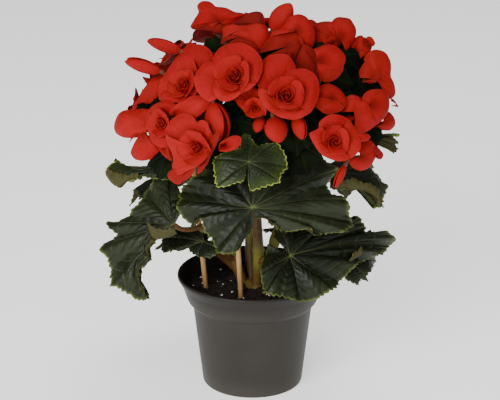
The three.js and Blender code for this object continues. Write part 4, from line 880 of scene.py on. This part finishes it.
def lump(rng, centre, size, stretch=(1, 1, 0.7)):
    """An irregular crumb: the twelve corners of a body of twenty triangles, each edge halved once."""
    golden = (1 + math.sqrt(5)) / 2
    corners = [unit(np.roll((a, b, 0), shift)) for shift in range(3) for b in (golden, -golden)
               for a in (-1, 1)]
    faces = [(0, 11, 5), (0, 5, 1), (0, 1, 7), (0, 7, 10), (0, 10, 11), (1, 5, 9), (5, 11, 4), (11, 10, 2),
             (10, 7, 6), (7, 1, 8), (3, 9, 4), (3, 4, 2), (3, 2, 6), (3, 6, 8), (3, 8, 9), (4, 9, 5),
             (2, 4, 11), (6, 2, 10), (8, 6, 7), (9, 8, 1)]
    halves, finer = {}, []

    def half(a, b):
        key = (min(a, b), max(a, b))
        if key not in halves:
            halves[key] = len(corners)
            corners.append(unit(corners[a] + corners[b]))
        return halves[key]

    for a, b, c in faces:
        ab, bc, ca = half(a, b), half(b, c), half(c, a)
        finer += [(a, ab, ca), (ab, b, bc), (ca, bc, c), (ab, bc, ca)]
    points = np.array(corners) * (0.75 + 0.45 * rng.random((len(corners), 1)))
    turn = rng.random() * 2 * math.pi
    c, s = math.cos(turn), math.sin(turn)
    return points * stretch * size @ np.array([[c, -s, 0], [s, c, 0], [0, 0, 1]]) + centre, finer


def make_soil(peat, perlite):
    top, turn = wall_radius(SOIL_LEVEL), circle(SOIL_SIDES)
    rng = np.random.default_rng(5)
    radii = np.linspace(0, 1, SOIL_RINGS)[1:] * top
    rough = rng.normal(0, SOIL_ROUGHNESS, (len(radii), SOIL_SIDES))
    rough[-1] = 0
    rings = [ring(radius, soil_height(radius * np.cos(turn), radius * np.sin(turn)) + bumps, turn)
             for radius, bumps in zip(radii, rough)]
    for height in (SOIL_LEVEL - 3, 80, POT["shoulder"][1], POT["floor"] + POT["channel_height"] + GAP):
        rings.append(ring(wall_radius(height), height, turn))
    points, faces = closed_rings(rings, (0, 0, soil_height(0.0, 0.0)), (0, 0, rings[-1][0, 2]))
    body = Body()
    body.add(points, [f[::-1] for f in faces])
    for _ in range(CRUMBS):
        place = on_soil(top * math.sqrt(rng.random()) * 0.97, rng.random() * 2 * math.pi)
        size = 0.6 + 1.7 * rng.random() ** 2
        body.add(*lump(rng, place + (0, 0, 0.1 * size), size))
    for _ in range(FIBRES):
        place = on_soil(top * math.sqrt(rng.random()) * 0.9, rng.random() * 7) + (0, 0, 0.5)
        lie, reach = rng.random() * 7, 1.5 + 3 * rng.random()
        way = np.array([math.cos(lie), math.sin(lie), 0.25 * rng.normal()]) * reach
        body.add(*swept([place - way, place, place + way], [0.25, 0.4, 0.2], 5)[:2])
    body.piece("begonia_peat", peat, ["soil"])
    body = Body()
    for k in range(GRAINS):
        radius, turn = top * mix(0.35, 0.95, rng.random()), math.radians(mix(170, 300, rng.random()))
        if k >= GATHERED_GRAINS:
            turn = rng.random() * 2 * math.pi
        size = 0.5 + 0.9 * rng.random()
        body.add(*lump(rng, on_soil(radius, turn) + (0, 0, 0.55 * size), size, (1, 0.8, 0.7)))
    body.piece("begonia_perlite", perlite)


# ---------------------------------------------------------------- canes and stems
def make_canes(finish):
    steps = np.linspace(0, 1, 40)
    for name, (foot, head) in CANES.items():
        rng = np.random.default_rng(len(name))
        line = mix(np.array(foot, float), np.array(head, float), steps[:, None])
        radii = mix(*CANE_RADII, steps) + 0.05 * np.sin(steps * 37 + 5 * rng.random())
        points, faces, far, around = swept(line, radii, 18)
        body = Body()
        body.add(points, faces, far=far, around=around)
        body.piece("begonia_" + name, finish, [name])


def smooth_line(points, count):
    """A smooth line through the points, with each stretch timed by the root of its length."""
    points = [np.array(p, float) for p in points]
    padded = [2 * points[0] - points[1], *points, 2 * points[-1] - points[-2]]
    out = []
    for share in np.linspace(0, 1, count):
        place = share * (len(points) - 1)
        k = min(int(place), len(points) - 2)
        t = place - k
        a, b, c, d = padded[k:k + 4]
        da, db, dc = (np.linalg.norm(q - p) ** 0.5 for p, q in ((a, b), (b, c), (c, d)))
        leave = ((b - a) / da - (c - a) / (da + db) + (c - b) / db) * db
        arrive = ((c - b) / db - (d - b) / (db + dc) + (d - c) / dc) * db
        out.append(b + leave * t + (3 * (c - b) - 2 * leave - arrive) * t * t
                   + (2 * (b - c) + leave + arrive) * t ** 3)
    return np.array(out)


def stalk(start, leave, end, arrive, count):
    """A curve from start to end, and the shares of its way."""
    span = np.linalg.norm(end - start)
    a, b = start + leave * span * 0.35, end - arrive * min(span * 0.35, 22)
    t = np.linspace(0, 1, count)[:, None]
    return (1 - t) ** 3 * start + 3 * t * (1 - t) ** 2 * a + 3 * t * t * (1 - t) * b + t ** 3 * end, t[:, 0]


def bloom_root(bloom):
    """Where a bloom's stalk ends, behind its face."""
    return np.array(bloom[:3], float) - facing(*bloom[3:5]) * BLOOM_DEPTH * bloom[5]


def make_stems(finish):
    body = Body()

    def bar(line, radii, sides, kind, knot=0.0):
        points, faces, far, around = swept(line, radii, sides)
        body.add(points, faces, far=far, around=around, kind=kind, knot=knot)

    steps = np.linspace(0, 1, SHOOT_STEPS + 1)
    lines = [smooth_line(points, len(steps)) for points in SHOOTS]
    middles = [smooth_line(points, 3)[1] for points in SHOOTS]
    for k, line in enumerate(lines):
        joints = [joint + 0.02 * k for joint in JOINTS]
        swollen = sum(np.exp(-(((steps - joint) / 0.03) ** 2)) for joint in joints)
        radii = mix(*SHOOT_RADII, steps) + 0.9 * swollen
        points, faces, far, around = swept(line, radii, 20)
        near = np.exp(-(((far / far.max() - joints[0]) / 0.07) ** 2))
        body.add(points, faces, far=far, around=around, kind=SHOOT, knot=near)

    points, faces = lathe(softened(CROWN_PROFILE, 1.2), 48)
    angle = np.arctan2(points[:, 1], points[:, 0])
    knobs = 1 + 0.05 * np.sin(angle * 5 + points[:, 2] * 0.3) + 0.03 * np.sin(angle * 11 - points[:, 2])
    points[:, :2] *= knobs[:, None]
    body.add(points + (*CROWN, SOIL_LEVEL), faces, far=points[:, 2], around=angle, kind=SHOOT, knot=0.25)

    forks = [np.array(place, float) for _, place in FORKS]
    start = int(FORK_START * SHOOT_STEPS)
    for (shoot, _), place in zip(FORKS, forks):
        line = lines[shoot]
        top, way = line[start], unit(line[start + 1] - line[start - 1])
        arm, steps = stalk(top, way, place, unit(place - top), 20)
        bar(arm, mix(*FORK_RADII, steps), 14, FORK)
        swelling = FORK_SWELLING * np.sqrt(1 - np.linspace(-0.93, 0.93, 9) ** 2)
        line = place + np.outer(np.linspace(-1.1, 1.1, 9), unit(arm[-1] - arm[-2])) * FORK_SWELLING
        bar(line, swelling, 12, FORK, 0.5)
    for leaf in LEAVES.values():
        upper = facing(*leaf["faces"])
        end = np.array(leaf["at"], float) - upper * (LEAF_THICKNESS / 2 + STALK_TIP)
        seat = end - upper * GAP
        nearest = min(range(len(SHOOTS)), key=lambda k: np.linalg.norm(middles[k] - seat))
        share = min(max((seat[2] - 110) / 110, 0.12), 0.95)
        start = lines[nearest][round(share * SHOOT_STEPS)]
        outward = unit(unit((seat - start) * (1, 1, 0)) + (0, 0, 0.8))
        line, steps = stalk(start, outward, end, unit(leaf.get("arrive", upper)), 30)
        flare = 0.5 * ease(steps, 0.9, 1) + 0.7 * (1 - ease(steps, 0, 0.12))
        bar(line, mix(*LEAF_STALK_RADII, steps) + flare, 14, LEAF_STALK)
    ends = [(bloom_root(bloom), bloom, BLOOM_STALK_RADII) for bloom in BLOOMS]
    ends += [(np.array(bud[:3], float), bud, BUD_STALK_RADII) for bud in BUDS]
    for root, flower, radii in ends:
        start = min(forks, key=lambda place: np.linalg.norm(place - root))
        line, steps = stalk(start, unit(root - start), root, facing(*flower[3:5]), 18)
        bar(line, mix(*radii, steps) + 0.7 * ease(steps, 0.86, 1), 10, FLOWER_STALK)
    body.piece("begonia_stems", finish, ["stems"])


# ---------------------------------------------------------------- leaves
def leaf_reach(leaf, angle):
    """How far the margin of a leaf of the shared pattern lies from the stalk at an angle."""
    angles, reaches = (np.array(column, float) for column in zip(*LOBES))
    k = np.clip(np.searchsorted(angles, angle, side="right") - 1, 0, len(LOBES) - 2)
    t = np.clip((angle - angles[k]) / (angles[k + 1] - angles[k]), 0, 1)
    reach = mix(reaches[k], reaches[k + 1], t) * (1 - VALLEY * np.sin(math.pi * t) ** 0.8)
    for side, end in ((-1, 0), (1, -1)):
        beyond = angle * side > angles[end] * side
        back = np.clip((np.abs(angle) - abs(angles[end])) / (180 - abs(angles[end])), 0, 1)
        reach = np.where(beyond, mix(reaches[end], SINUS_REACH, back ** 1.7), reach)
    return leaf["size"] * reach


def margin_of(leaf):
    """The margin of a leaf, listed as the drawn leaves list theirs."""
    if "edge" in leaf:
        return np.array(leaf["edge"], float)
    upper = facing(*leaf["faces"])
    downhill = facing(leaf["faces"][0], leaf["faces"][1] - 90)
    turn = math.radians(leaf["turn"])
    midrib = downhill * math.cos(turn) + np.cross(upper, downhill) * math.sin(turn)
    tips = [tip for tip, _ in LOBES]
    angles = np.array(sorted({*range(-172, 173, 6), *tips}), float)
    reach = leaf_reach(leaf, angles)

    def bent(s, total):
        k = math.radians(total) / leaf["size"]
        return np.sin(k * s) / k, -(1 - np.cos(k * s)) / k

    x, down = bent(reach * np.cos(np.radians(angles)), leaf["droop"])
    y, aside = bent(reach * np.sin(np.radians(angles)), leaf["curl"])
    points = np.array(leaf["at"], float) + np.outer(x, midrib) + np.outer(y, np.cross(upper, midrib))
    points += np.outer(down + aside, upper)
    return np.column_stack([points, np.isin(angles, tips)])


def saw(x):
    """Slants up over most of each step and drops back at its end, from -0.5 to 0.5."""
    x = x - np.floor(x)
    return np.where(x < 0.7, x / 0.7, (1 - x) / 0.3) - 0.5


def drawn_line(points, sharp, pace):
    """A line through the points at an even pace, smooth but for the sharp ones."""
    along = np.concatenate([[0], np.cumsum(np.linalg.norm(np.diff(points, axis=0), axis=1))])
    places = np.unique(np.round(np.concatenate([np.arange(0, along[-1], pace), along]), 2))
    places = places[np.concatenate([[True], np.diff(places) > 0.25])]
    run = np.gradient(points, along, axis=0) * (1 - 0.8 * sharp[:, None])
    k = np.clip(np.searchsorted(along, places, side="right") - 1, 0, len(points) - 2)
    length = (along[k + 1] - along[k])[:, None]
    t = (places - along[k])[:, None] / length
    line = ((1 + 2 * t) * points[k] + t * length * run[k]) * (1 - t) ** 2
    line += ((3 - 2 * t) * points[k + 1] - (1 - t) * length * run[k + 1]) * t ** 2
    return line, places, along


def fan(rays, share):
    """The places over a fan of rays from the stalk to the margin, their distance from the stalk and
    their turn round it. A ray bends round the parts of the margin that would stand in its way.
    """
    square = unit(np.cross(rays[:-1], rays[1:]).sum(0))
    right = unit(np.cross([0.0, 0.0, 1.0], square))
    ahead = np.cross(square, right)
    steps = np.arange(len(rays)) * LEAST_TURN
    straight = np.unwrap(np.arctan2(rays @ ahead, rays @ right)) - steps
    far = np.hypot(rays @ ahead, rays @ right)
    radius = far[:, None] * share
    turn = np.repeat(straight[:, None], share.shape[1], 1)
    for k, way in enumerate(straight):
        inside = (radius <= far[k]) & (far[:, None] > far[k])
        turn[:k] = np.where(inside[:k], np.minimum(turn[:k], way), turn[:k])
        turn[k + 1:] = np.where(inside[k + 1:], np.maximum(turn[k + 1:], way), turn[k + 1:])
    turn = turn + steps[:, None]
    places = radius[..., None] * (np.cos(turn)[..., None] * right + np.sin(turn)[..., None] * ahead)
    return places + (share * (rays @ square)[:, None])[..., None] * square, radius, turn


def blade(body, leaf, phase, pace, columns):
    """The blade of one leaf. share runs from the stalk to the margin, span from a main vein to the
    middle between two of them, and vein is the distance to the nearest main vein.
    """
    at, upper, edge = np.array(leaf["at"], float), facing(*leaf["faces"]), margin_of(leaf)
    tip = edge[:, 3] > 0
    line, places, along = drawn_line(edge[:, :3], tip, pace)
    marks = np.concatenate([[0], along[tip], [along[-1]]])
    k = np.clip(np.searchsorted(marks, places, side="right") - 1, 0, len(marks) - 2)
    between = np.clip((places - marks[k]) / np.maximum(marks[k + 1] - marks[k], 1e-6), 0, 1)[:, None]
    span = 1 - np.abs(1 - 2 * between)
    out = (line - at)[:, None, :]
    reach = np.linalg.norm(out, axis=2)
    share = np.concatenate([np.linspace(0, 0.93, columns - 4), [0.955, 0.975, 0.99, 1.0]])[None, :]
    flat, radius, turn = fan(line - at, share)
    drop = np.maximum(-(out @ upper), 0)
    points = at + flat + (drop * share * (1 - share))[..., None] * upper
    s = places[:, None]
    teeth = TEETH[0] * saw(s / TOOTH + phase) + TEETH[1] * saw(s / TOOTH * 2.3)
    teeth = teeth * np.minimum(reach / 20, 1) * ease(share, 0.84, 1.0)
    points = points + teeth[..., None] * out / reach[..., None]
    size, swell = reach.max(), np.minimum(reach / 40, 1)
    rise = SWELLING * swell * np.sin(math.pi * between) ** 0.7 * ease(share, 0.05, 0.5)
    rise = rise * (1 - 0.7 * ease(share, 0.7, 1))
    quilt = np.cos(2 * math.pi * (share * CHEVRONS - span * CHEVRON_SLANT)) * ease(span, 0.05, 0.5)
    rise = rise + QUILT * swell * quilt * ease(share, 0.15, 0.4) * (1 - ease(share, 0.85, 1))
    wave = WAVE_HEIGHT * share ** 2 * np.sin(2 * math.pi * s / WAVE + phase) * np.minimum(reach / 25, 1)
    ripple = RIPPLE_HEIGHT * share ** 5 * np.sin(2 * math.pi * s / RIPPLE + 2 * phase)
    rise = rise + size * (wave + ripple)
    # the grid runs anticlockwise then outwards, so its first side is the lower one
    points = points - rise[..., None] * facings(points, True)
    vein = np.full(radius.shape, 99.0)
    for k in np.searchsorted(places, along[tip] - 0.3):
        apart = np.abs(turn - np.interp(radius, radius[k], turn[k]))
        vein = np.minimum(vein, radius * np.sin(np.minimum(apart, math.pi / 2)))
    # painted sheen, stronger towards the left or the right of the blade
    pale = mix(*leaf.get("pale", (0.0, 0.0)), ease(points[..., 0] - at[0], -PAINTED_SHEEN_REACH, PAINTED_SHEEN_REACH))
    half = LEAF_THICKNESS / 2 * mix(1, 0.4, ease(share, 0.9, 1))
    body.add_sheet(points, half, (0, 1), pinched=True, share=share, span=span, vein=vein,
                   youth=leaf.get("youth", 0.0), pale=pale)


def folded_margin(body, fold, edge, youth):
    """A part of the margin that is turned up and shows its lower side."""
    low, places, _ = drawn_line(np.array(fold, float), np.zeros(len(fold)), 0.5)
    share, knots = np.linspace(0, 1, len(low)), np.linspace(0, 1, len(edge))
    out = np.column_stack([np.interp(share, knots, column) for column in zip(*edge)]) - low
    t = np.linspace(0, 1, 12)[None, :, None]
    teeth = (1.5 * saw(places / TOOTH) + 0.6 * saw(places / 1.7)) / np.linalg.norm(out, axis=1)
    points = low[:, None] + t * (out * (1 + teeth[:, None]))[:, None]
    way = np.cross(np.gradient(low, axis=0), out)
    way /= np.linalg.norm(way, axis=1, keepdims=True)
    roll = 1.4 * np.sin(math.pi * t) + 0.9 * t ** 2 * np.sin(places / 1.9)[:, None, None]
    body.add_sheet(points + roll * way[:, None], LEAF_THICKNESS / 2, (0, 1), share=0.7 + 0.3 * t[..., 0],
                   span=0.5, vein=9.0, youth=youth, pale=0.0)


def make_leaf(name, leaf, phase, finish):
    body = Body()
    if name in LOBED_LEAVES:
        grid = BACK_GRID
    else:
        size = np.linalg.norm(margin_of(leaf)[:, :3] - leaf["at"], axis=1).max()
        grid = LARGE_GRID if size > LARGE_LEAF else SMALL_GRID
    blade(body, leaf, phase, *grid)
    if name in FLAPS:
        folded_margin(body, *FLAPS[name], max(leaf["youth"], 0.75))
    body.piece("begonia_" + name, finish, [name])


def make_inner_leaves(finish):
    """Leaves in the middle of the plant, behind and under the blooms, in a darker copy of the leaf finish:
    painted shade.
    """
    body = Body()
    for k, (x, y, z, azimuth, elevation, size) in enumerate(INNER_LEAVES):
        leaf = {"at": (x, y, z), "faces": (azimuth, elevation), "turn": 47 * k % 60 - 30,
                "size": 1.15 * size, "droop": 50, "curl": 40}
        blade(body, leaf, k * 1.3, *INNER_GRID)
    body.piece("begonia_inner_leaves", finish)


# ---------------------------------------------------------------- blooms
def petal(body, radius, rng, steps, turn, root, lift, length, half_width, leans, cup, roll, ruffle,
          heart=0.0):
    """One petal of a bloom, with its turns in degrees and its lengths as shares of the radius. along
    runs from the claw to the tip and across from edge to edge.
    """
    phase, tone = 6 * rng.random(), rng.random()
    turn, low, high = np.radians([turn, *leans])
    length, half_width = length * radius, half_width * radius
    along = (np.sin(np.linspace(0, math.pi / 2 * 0.985, steps)) ** 1.15)[:, None]
    spread = np.sin(np.linspace(-1, 1, steps) * math.pi / 2 * 0.94)
    across = (spread / spread[-1])[None, :]
    lean = mix(low, high, along)
    radial = root * radius + length * (math.cos(low) - np.cos(lean)) / (high - low)
    axial = lift * radius + length * (np.sin(lean) - math.sin(low)) / (high - low)
    swell = np.minimum(along / BELLY, 1)
    tip = np.maximum(along - BELLY, 0) / (1 - BELLY)
    width = half_width * mix(0.12, 1, swell * swell * (3 - 2 * swell)) * (1 - tip ** 2.3) ** 0.5
    side = across * width
    edge = np.maximum(np.abs(across), along)
    wave = edge ** 4 * along * np.sin(across * 5.5 + phase)
    wave = wave + 0.8 * along ** 2 * np.sin(across * 2.4 + phase * 1.7)
    wave = wave + 0.5 * np.sin(along * 5 + across * 1.5 + phase * 2.3) * along
    rise = cup * width * across ** 2 + mix(roll, roll / 3, along) * side + ruffle * half_width * wave
    points = np.stack([radial - np.cos(lean) * rise, side, axial + np.sin(lean) * rise], -1)
    c, s = math.cos(turn), math.sin(turn)
    half = PETAL_HALF * mix(1, PETAL_EDGE, ease(edge, 0.8, 1))
    body.add_sheet(points @ np.array([[c, s, 0], [-s, c, 0], [0, 0, 1]]), half, (1, 0),
                   along=along, across=across, heart=heart, tone=tone)


def drawn_petal(body, axes, plane, radius, rise, hearted, outline, rng):
    """A petal spread from its claw to a drawn margin, rise above the plane it is drawn in."""
    light, claw, margin = outline[0], np.array(outline[1:3]) / 2, np.reshape(outline[3:], (-1, 2)) / 2
    spokes = margin - claw
    if (spokes[:-1, 0] * spokes[1:, 1] - spokes[:-1, 1] * spokes[1:, 0]).sum() < 0:
        margin = margin[::-1]
    line, places, _ = drawn_line(margin, np.zeros(len(margin)), 1.35)
    across = np.linspace(-1, 1, len(line))[:, None]
    along = np.sin(np.linspace(0, math.pi / 2, 12))[None, :]
    out = line[:, None] - claw
    reach = np.linalg.norm(out, axis=2)
    phase, s = 6 * rng.random(), places[:, None]
    if hearted:
        rise = rise - 0.3 * radius * (1 - along) ** 2
    else:
        rise = rise + 0.16 * radius * (1 - along ** 2)
    rise = rise + 0.07 * reach * np.sin(math.pi * along) * (1 + 0.5 * np.sin(across * 4 + phase))
    rise = rise - 0.09 * reach * ease(along, 0.72, 1) ** 2 * (0.6 + 0.6 * np.sin(s / 8 + phase))
    rise = rise + 0.5 * along ** 3 * np.sin(s / 4.3 + phase)
    rise = rise + 0.35 * along ** 5 * np.sin(s / 2.1 + 2 * phase)
    rise = rise + 0.22 * along * (1 - along) * np.sin(across * 21 + phase)
    points = np.concatenate([claw + along[..., None] * out, rise[..., None]], axis=2)
    points = points @ plane[0].T + plane[1]
    half = PETAL_HALF * mix(1, PETAL_EDGE, ease(along, 0.85, 1))
    body.add_sheet((points - axes[1]) @ axes[0], half, (1 - light, light), pinched=True,
                   along=along, across=across, heart=0.0, tone=rng.random())


def furled(body, radius, turn, low, top, flare, tone):
    """A petal of the heart, wrapped round the bloom's axis."""
    up = np.sin(np.linspace(0, math.pi / 2, 9))[:, None]
    across = np.linspace(-1, 1, 13)[None, :]
    width = mix(0.55, 1, np.minimum(up / 0.6, 1)) * np.sqrt(1 - 0.75 * (np.maximum(up - 0.6, 0) / 0.4) ** 2)
    angle = turn + across * FURLED_ARC * width
    wrapped = radius * mix(0.5, 1, np.sqrt(up)) * (1 + flare * up ** 3) * (1 + 0.14 * across)
    height = mix(low, top, up) - 0.3 * (top - low) * (across * up) ** 2
    half = FURLED_HALF * mix(1, FURLED_EDGE, ease(np.maximum(np.abs(across), up), 0.8, 1))
    body.add_sheet(ring(wrapped, height, angle), half, (0.65, 1.0), along=up, across=across, heart=1.0,
                   tone=tone)


def make_bloom(number, bloom, finish):
    name = f"bloom_{number:02d}"
    radius, openness = bloom[5:]
    radius *= BEHIND_SHARE if number in BEHIND else 1
    rng = np.random.default_rng(100 + number)
    body = Body()
    axes = placed(bloom_root(bloom), facing(*bloom[3:5]))
    if number in PETALS:
        azimuth, elevation, petals = PETALS[number]
        plane = placed(bloom_root((*bloom[:3], azimuth, elevation, radius)), facing(azimuth, elevation))
        for k, outline in enumerate(petals):
            rise = (DRAWN_RISE + DRAWN_STEP * k) * radius
            drawn_petal(body, axes, plane, radius, rise, number in HEARTED, outline, rng)
    elif number in GUARDS:
        for k, (turn, length, half_width) in enumerate(GUARDS[number]):
            petal(body, radius, rng, GUARD_GRID, turn, root=0.1, lift=GUARD_LAYER * (k + 1), length=length,
                  half_width=half_width * mix(0.5, 1, openness),
                  leans=(mix(20, 40, openness), mix(50, 97 - 3 * k, openness)),
                  cup=mix(-0.04, 0.12, rng.random()), roll=0.04, ruffle=0.045)
    else:
        draws = draws_from(number)
        for k in range(GUARD_COUNT):
            petal(body, radius, rng, OUTER_GRID,
                  360 * (k + 0.5) / GUARD_COUNT + 8 * (next(draws) - 0.5),
                  root=0.1, lift=0.13, length=1 + 0.1 * (next(draws) - 0.5),
                  half_width=0.86 * mix(0.3, 1, openness) * (1 + 0.1 * (next(draws) - 0.5)),
                  leans=(mix(10, 40, openness), mix(30, 94, openness) + 8 * (next(draws) - 0.5)),
                  cup=0.1, roll=0.42, ruffle=0.05)
    first = rng.random() * 360
    full = number not in PETALS or number in HEARTED
    for k in range(MIDDLE_COUNT if full else 0):
        petal(body, radius, rng, MIDDLE_GRID, first + 360 * k / MIDDLE_COUNT + 26 * (rng.random() - 0.5),
              root=0.08, lift=0.24 + 0.02 * k, length=mix(0.52, 0.66, rng.random()),
              half_width=mix(0.44, 0.54, rng.random()) * mix(0.6, 1, openness),
              leans=(mix(8, 22, openness), mix(30, 74, openness) + 12 * (rng.random() - 0.5)),
              cup=0.2, roll=0.26, ruffle=0.05, heart=0.3)
    turn = rng.random() * 7
    for share, top, flare, count in HEART if full else ():
        turn += 1.0
        for k in range(count):
            furled(body, share * radius, turn + k * 2 * math.pi / count + 0.3 * (rng.random() - 0.5),
                   0.16 * radius, top * radius * (1 + 0.06 * (rng.random() - 0.5)), flare, rng.random())
    core = np.outer(mix(-0.02, 0.5, np.linspace(0, 1, 6)) * radius, (0, 0, 1))
    radii = radius * np.array([0.08, 0.12, 0.14, 0.11, 0.07, 0.03])
    body.add(*swept(core, radii, 12)[:2], along=0.1, across=0.0, upper=1.0, heart=1.0, tone=0.3)
    body.piece("begonia_" + name, finish, [name], axes)


def make_bud(number, bud, finish):
    """A closed bud: two domed petals that part at the tip."""
    name = f"bud_{number}"
    length, width, spin, parting = bud[5:]
    along = (0.5 - 0.5 * np.cos(np.linspace(0.12, math.pi - 0.1, 22)))[:, None]
    across = np.sin(np.linspace(-1, 1, 15) * math.pi / 2)[None, :]
    outline = width * np.sin(math.pi * along ** 0.9) ** 0.6
    dome = 0.12 + 0.288 * outline * (1 - across ** 2) ** 0.6
    dome = dome + 0.05 * np.sin(along * 9) * (np.abs(across) > 0.9)
    body = Body()
    for side in (1, -1):
        swing = side * math.radians(parting) / 2
        y, z = side * dome, along * length
        y, z = y * math.cos(swing) + z * math.sin(swing), z * math.cos(swing) - y * math.sin(swing)
        points = np.stack([0.49 * across * outline, y, z], -1)[:, ::side]
        body.add_sheet(points, BUD_HALF, (1, 1), along=0.35 + 0.6 * along, across=0.9 * across, heart=0.0,
                       tone=0.6 + 0.1 * side)
    axes = placed(bud[:3], facing(*bud[3:5]), math.radians(spin))
    body.piece("begonia_" + name, finish, [name], axes)


# ---------------------------------------------------------------- the whole plant
petal_red = petal_finish()
make_pot(pot_finish())
make_soil(peat_finish(), perlite_finish())
make_canes(cane_finish())
make_stems(stem_finish())
leaf_green = leaf_finish()
for k, (name, leaf) in enumerate(LEAVES.items()):
    make_leaf(name, leaf, 1.7 * k, leaf_green)
make_inner_leaves(painted_shade_leaf_finish())
for k, bloom in enumerate(BLOOMS):
    make_bloom(k + 1, bloom, petal_red)
for k, bud in enumerate(BUDS):
    make_bud(k + 1, bud, petal_red)

# ---------------------------------------------------------------- floor, light and camera
mesh = bpy.data.meshes.new("floor")
mesh.from_pydata(FLOOR, [], [(0, 1, 2, 3)])
mesh.materials.append(floor_finish())
floor = linked("floor", mesh)

world = bpy.data.worlds.new("studio")
bpy.context.scene.world = world
world.use_nodes = True
sky = world.node_tree.nodes["Background"].inputs
sky["Color"].default_value = (1, 1, 1, 1)
sky["Strength"].default_value = SKY_STRENGTH

for name, (place, size, power) in LAMPS.items():
    light = bpy.data.lights.new(name, "AREA")
    light.size, light.energy = size, power
    lamp = linked(name, light)
    lamp.location = place
    lamp.rotation_euler = (Vector(LAMP_TARGET) - Vector(place)).to_track_quat("-Z", "Y").to_euler()

lens = bpy.data.cameras.new("camera")
lens.sensor_width = 36
lens.lens = FOCAL_PIXELS / PHOTO_WIDTH * lens.sensor_width
camera = linked("camera", lens)
camera.location = CAMERA_PLACE
camera.rotation_euler = (math.pi / 2 - CAMERA_TILT, 0, 0)
bpy.context.scene.camera = camera
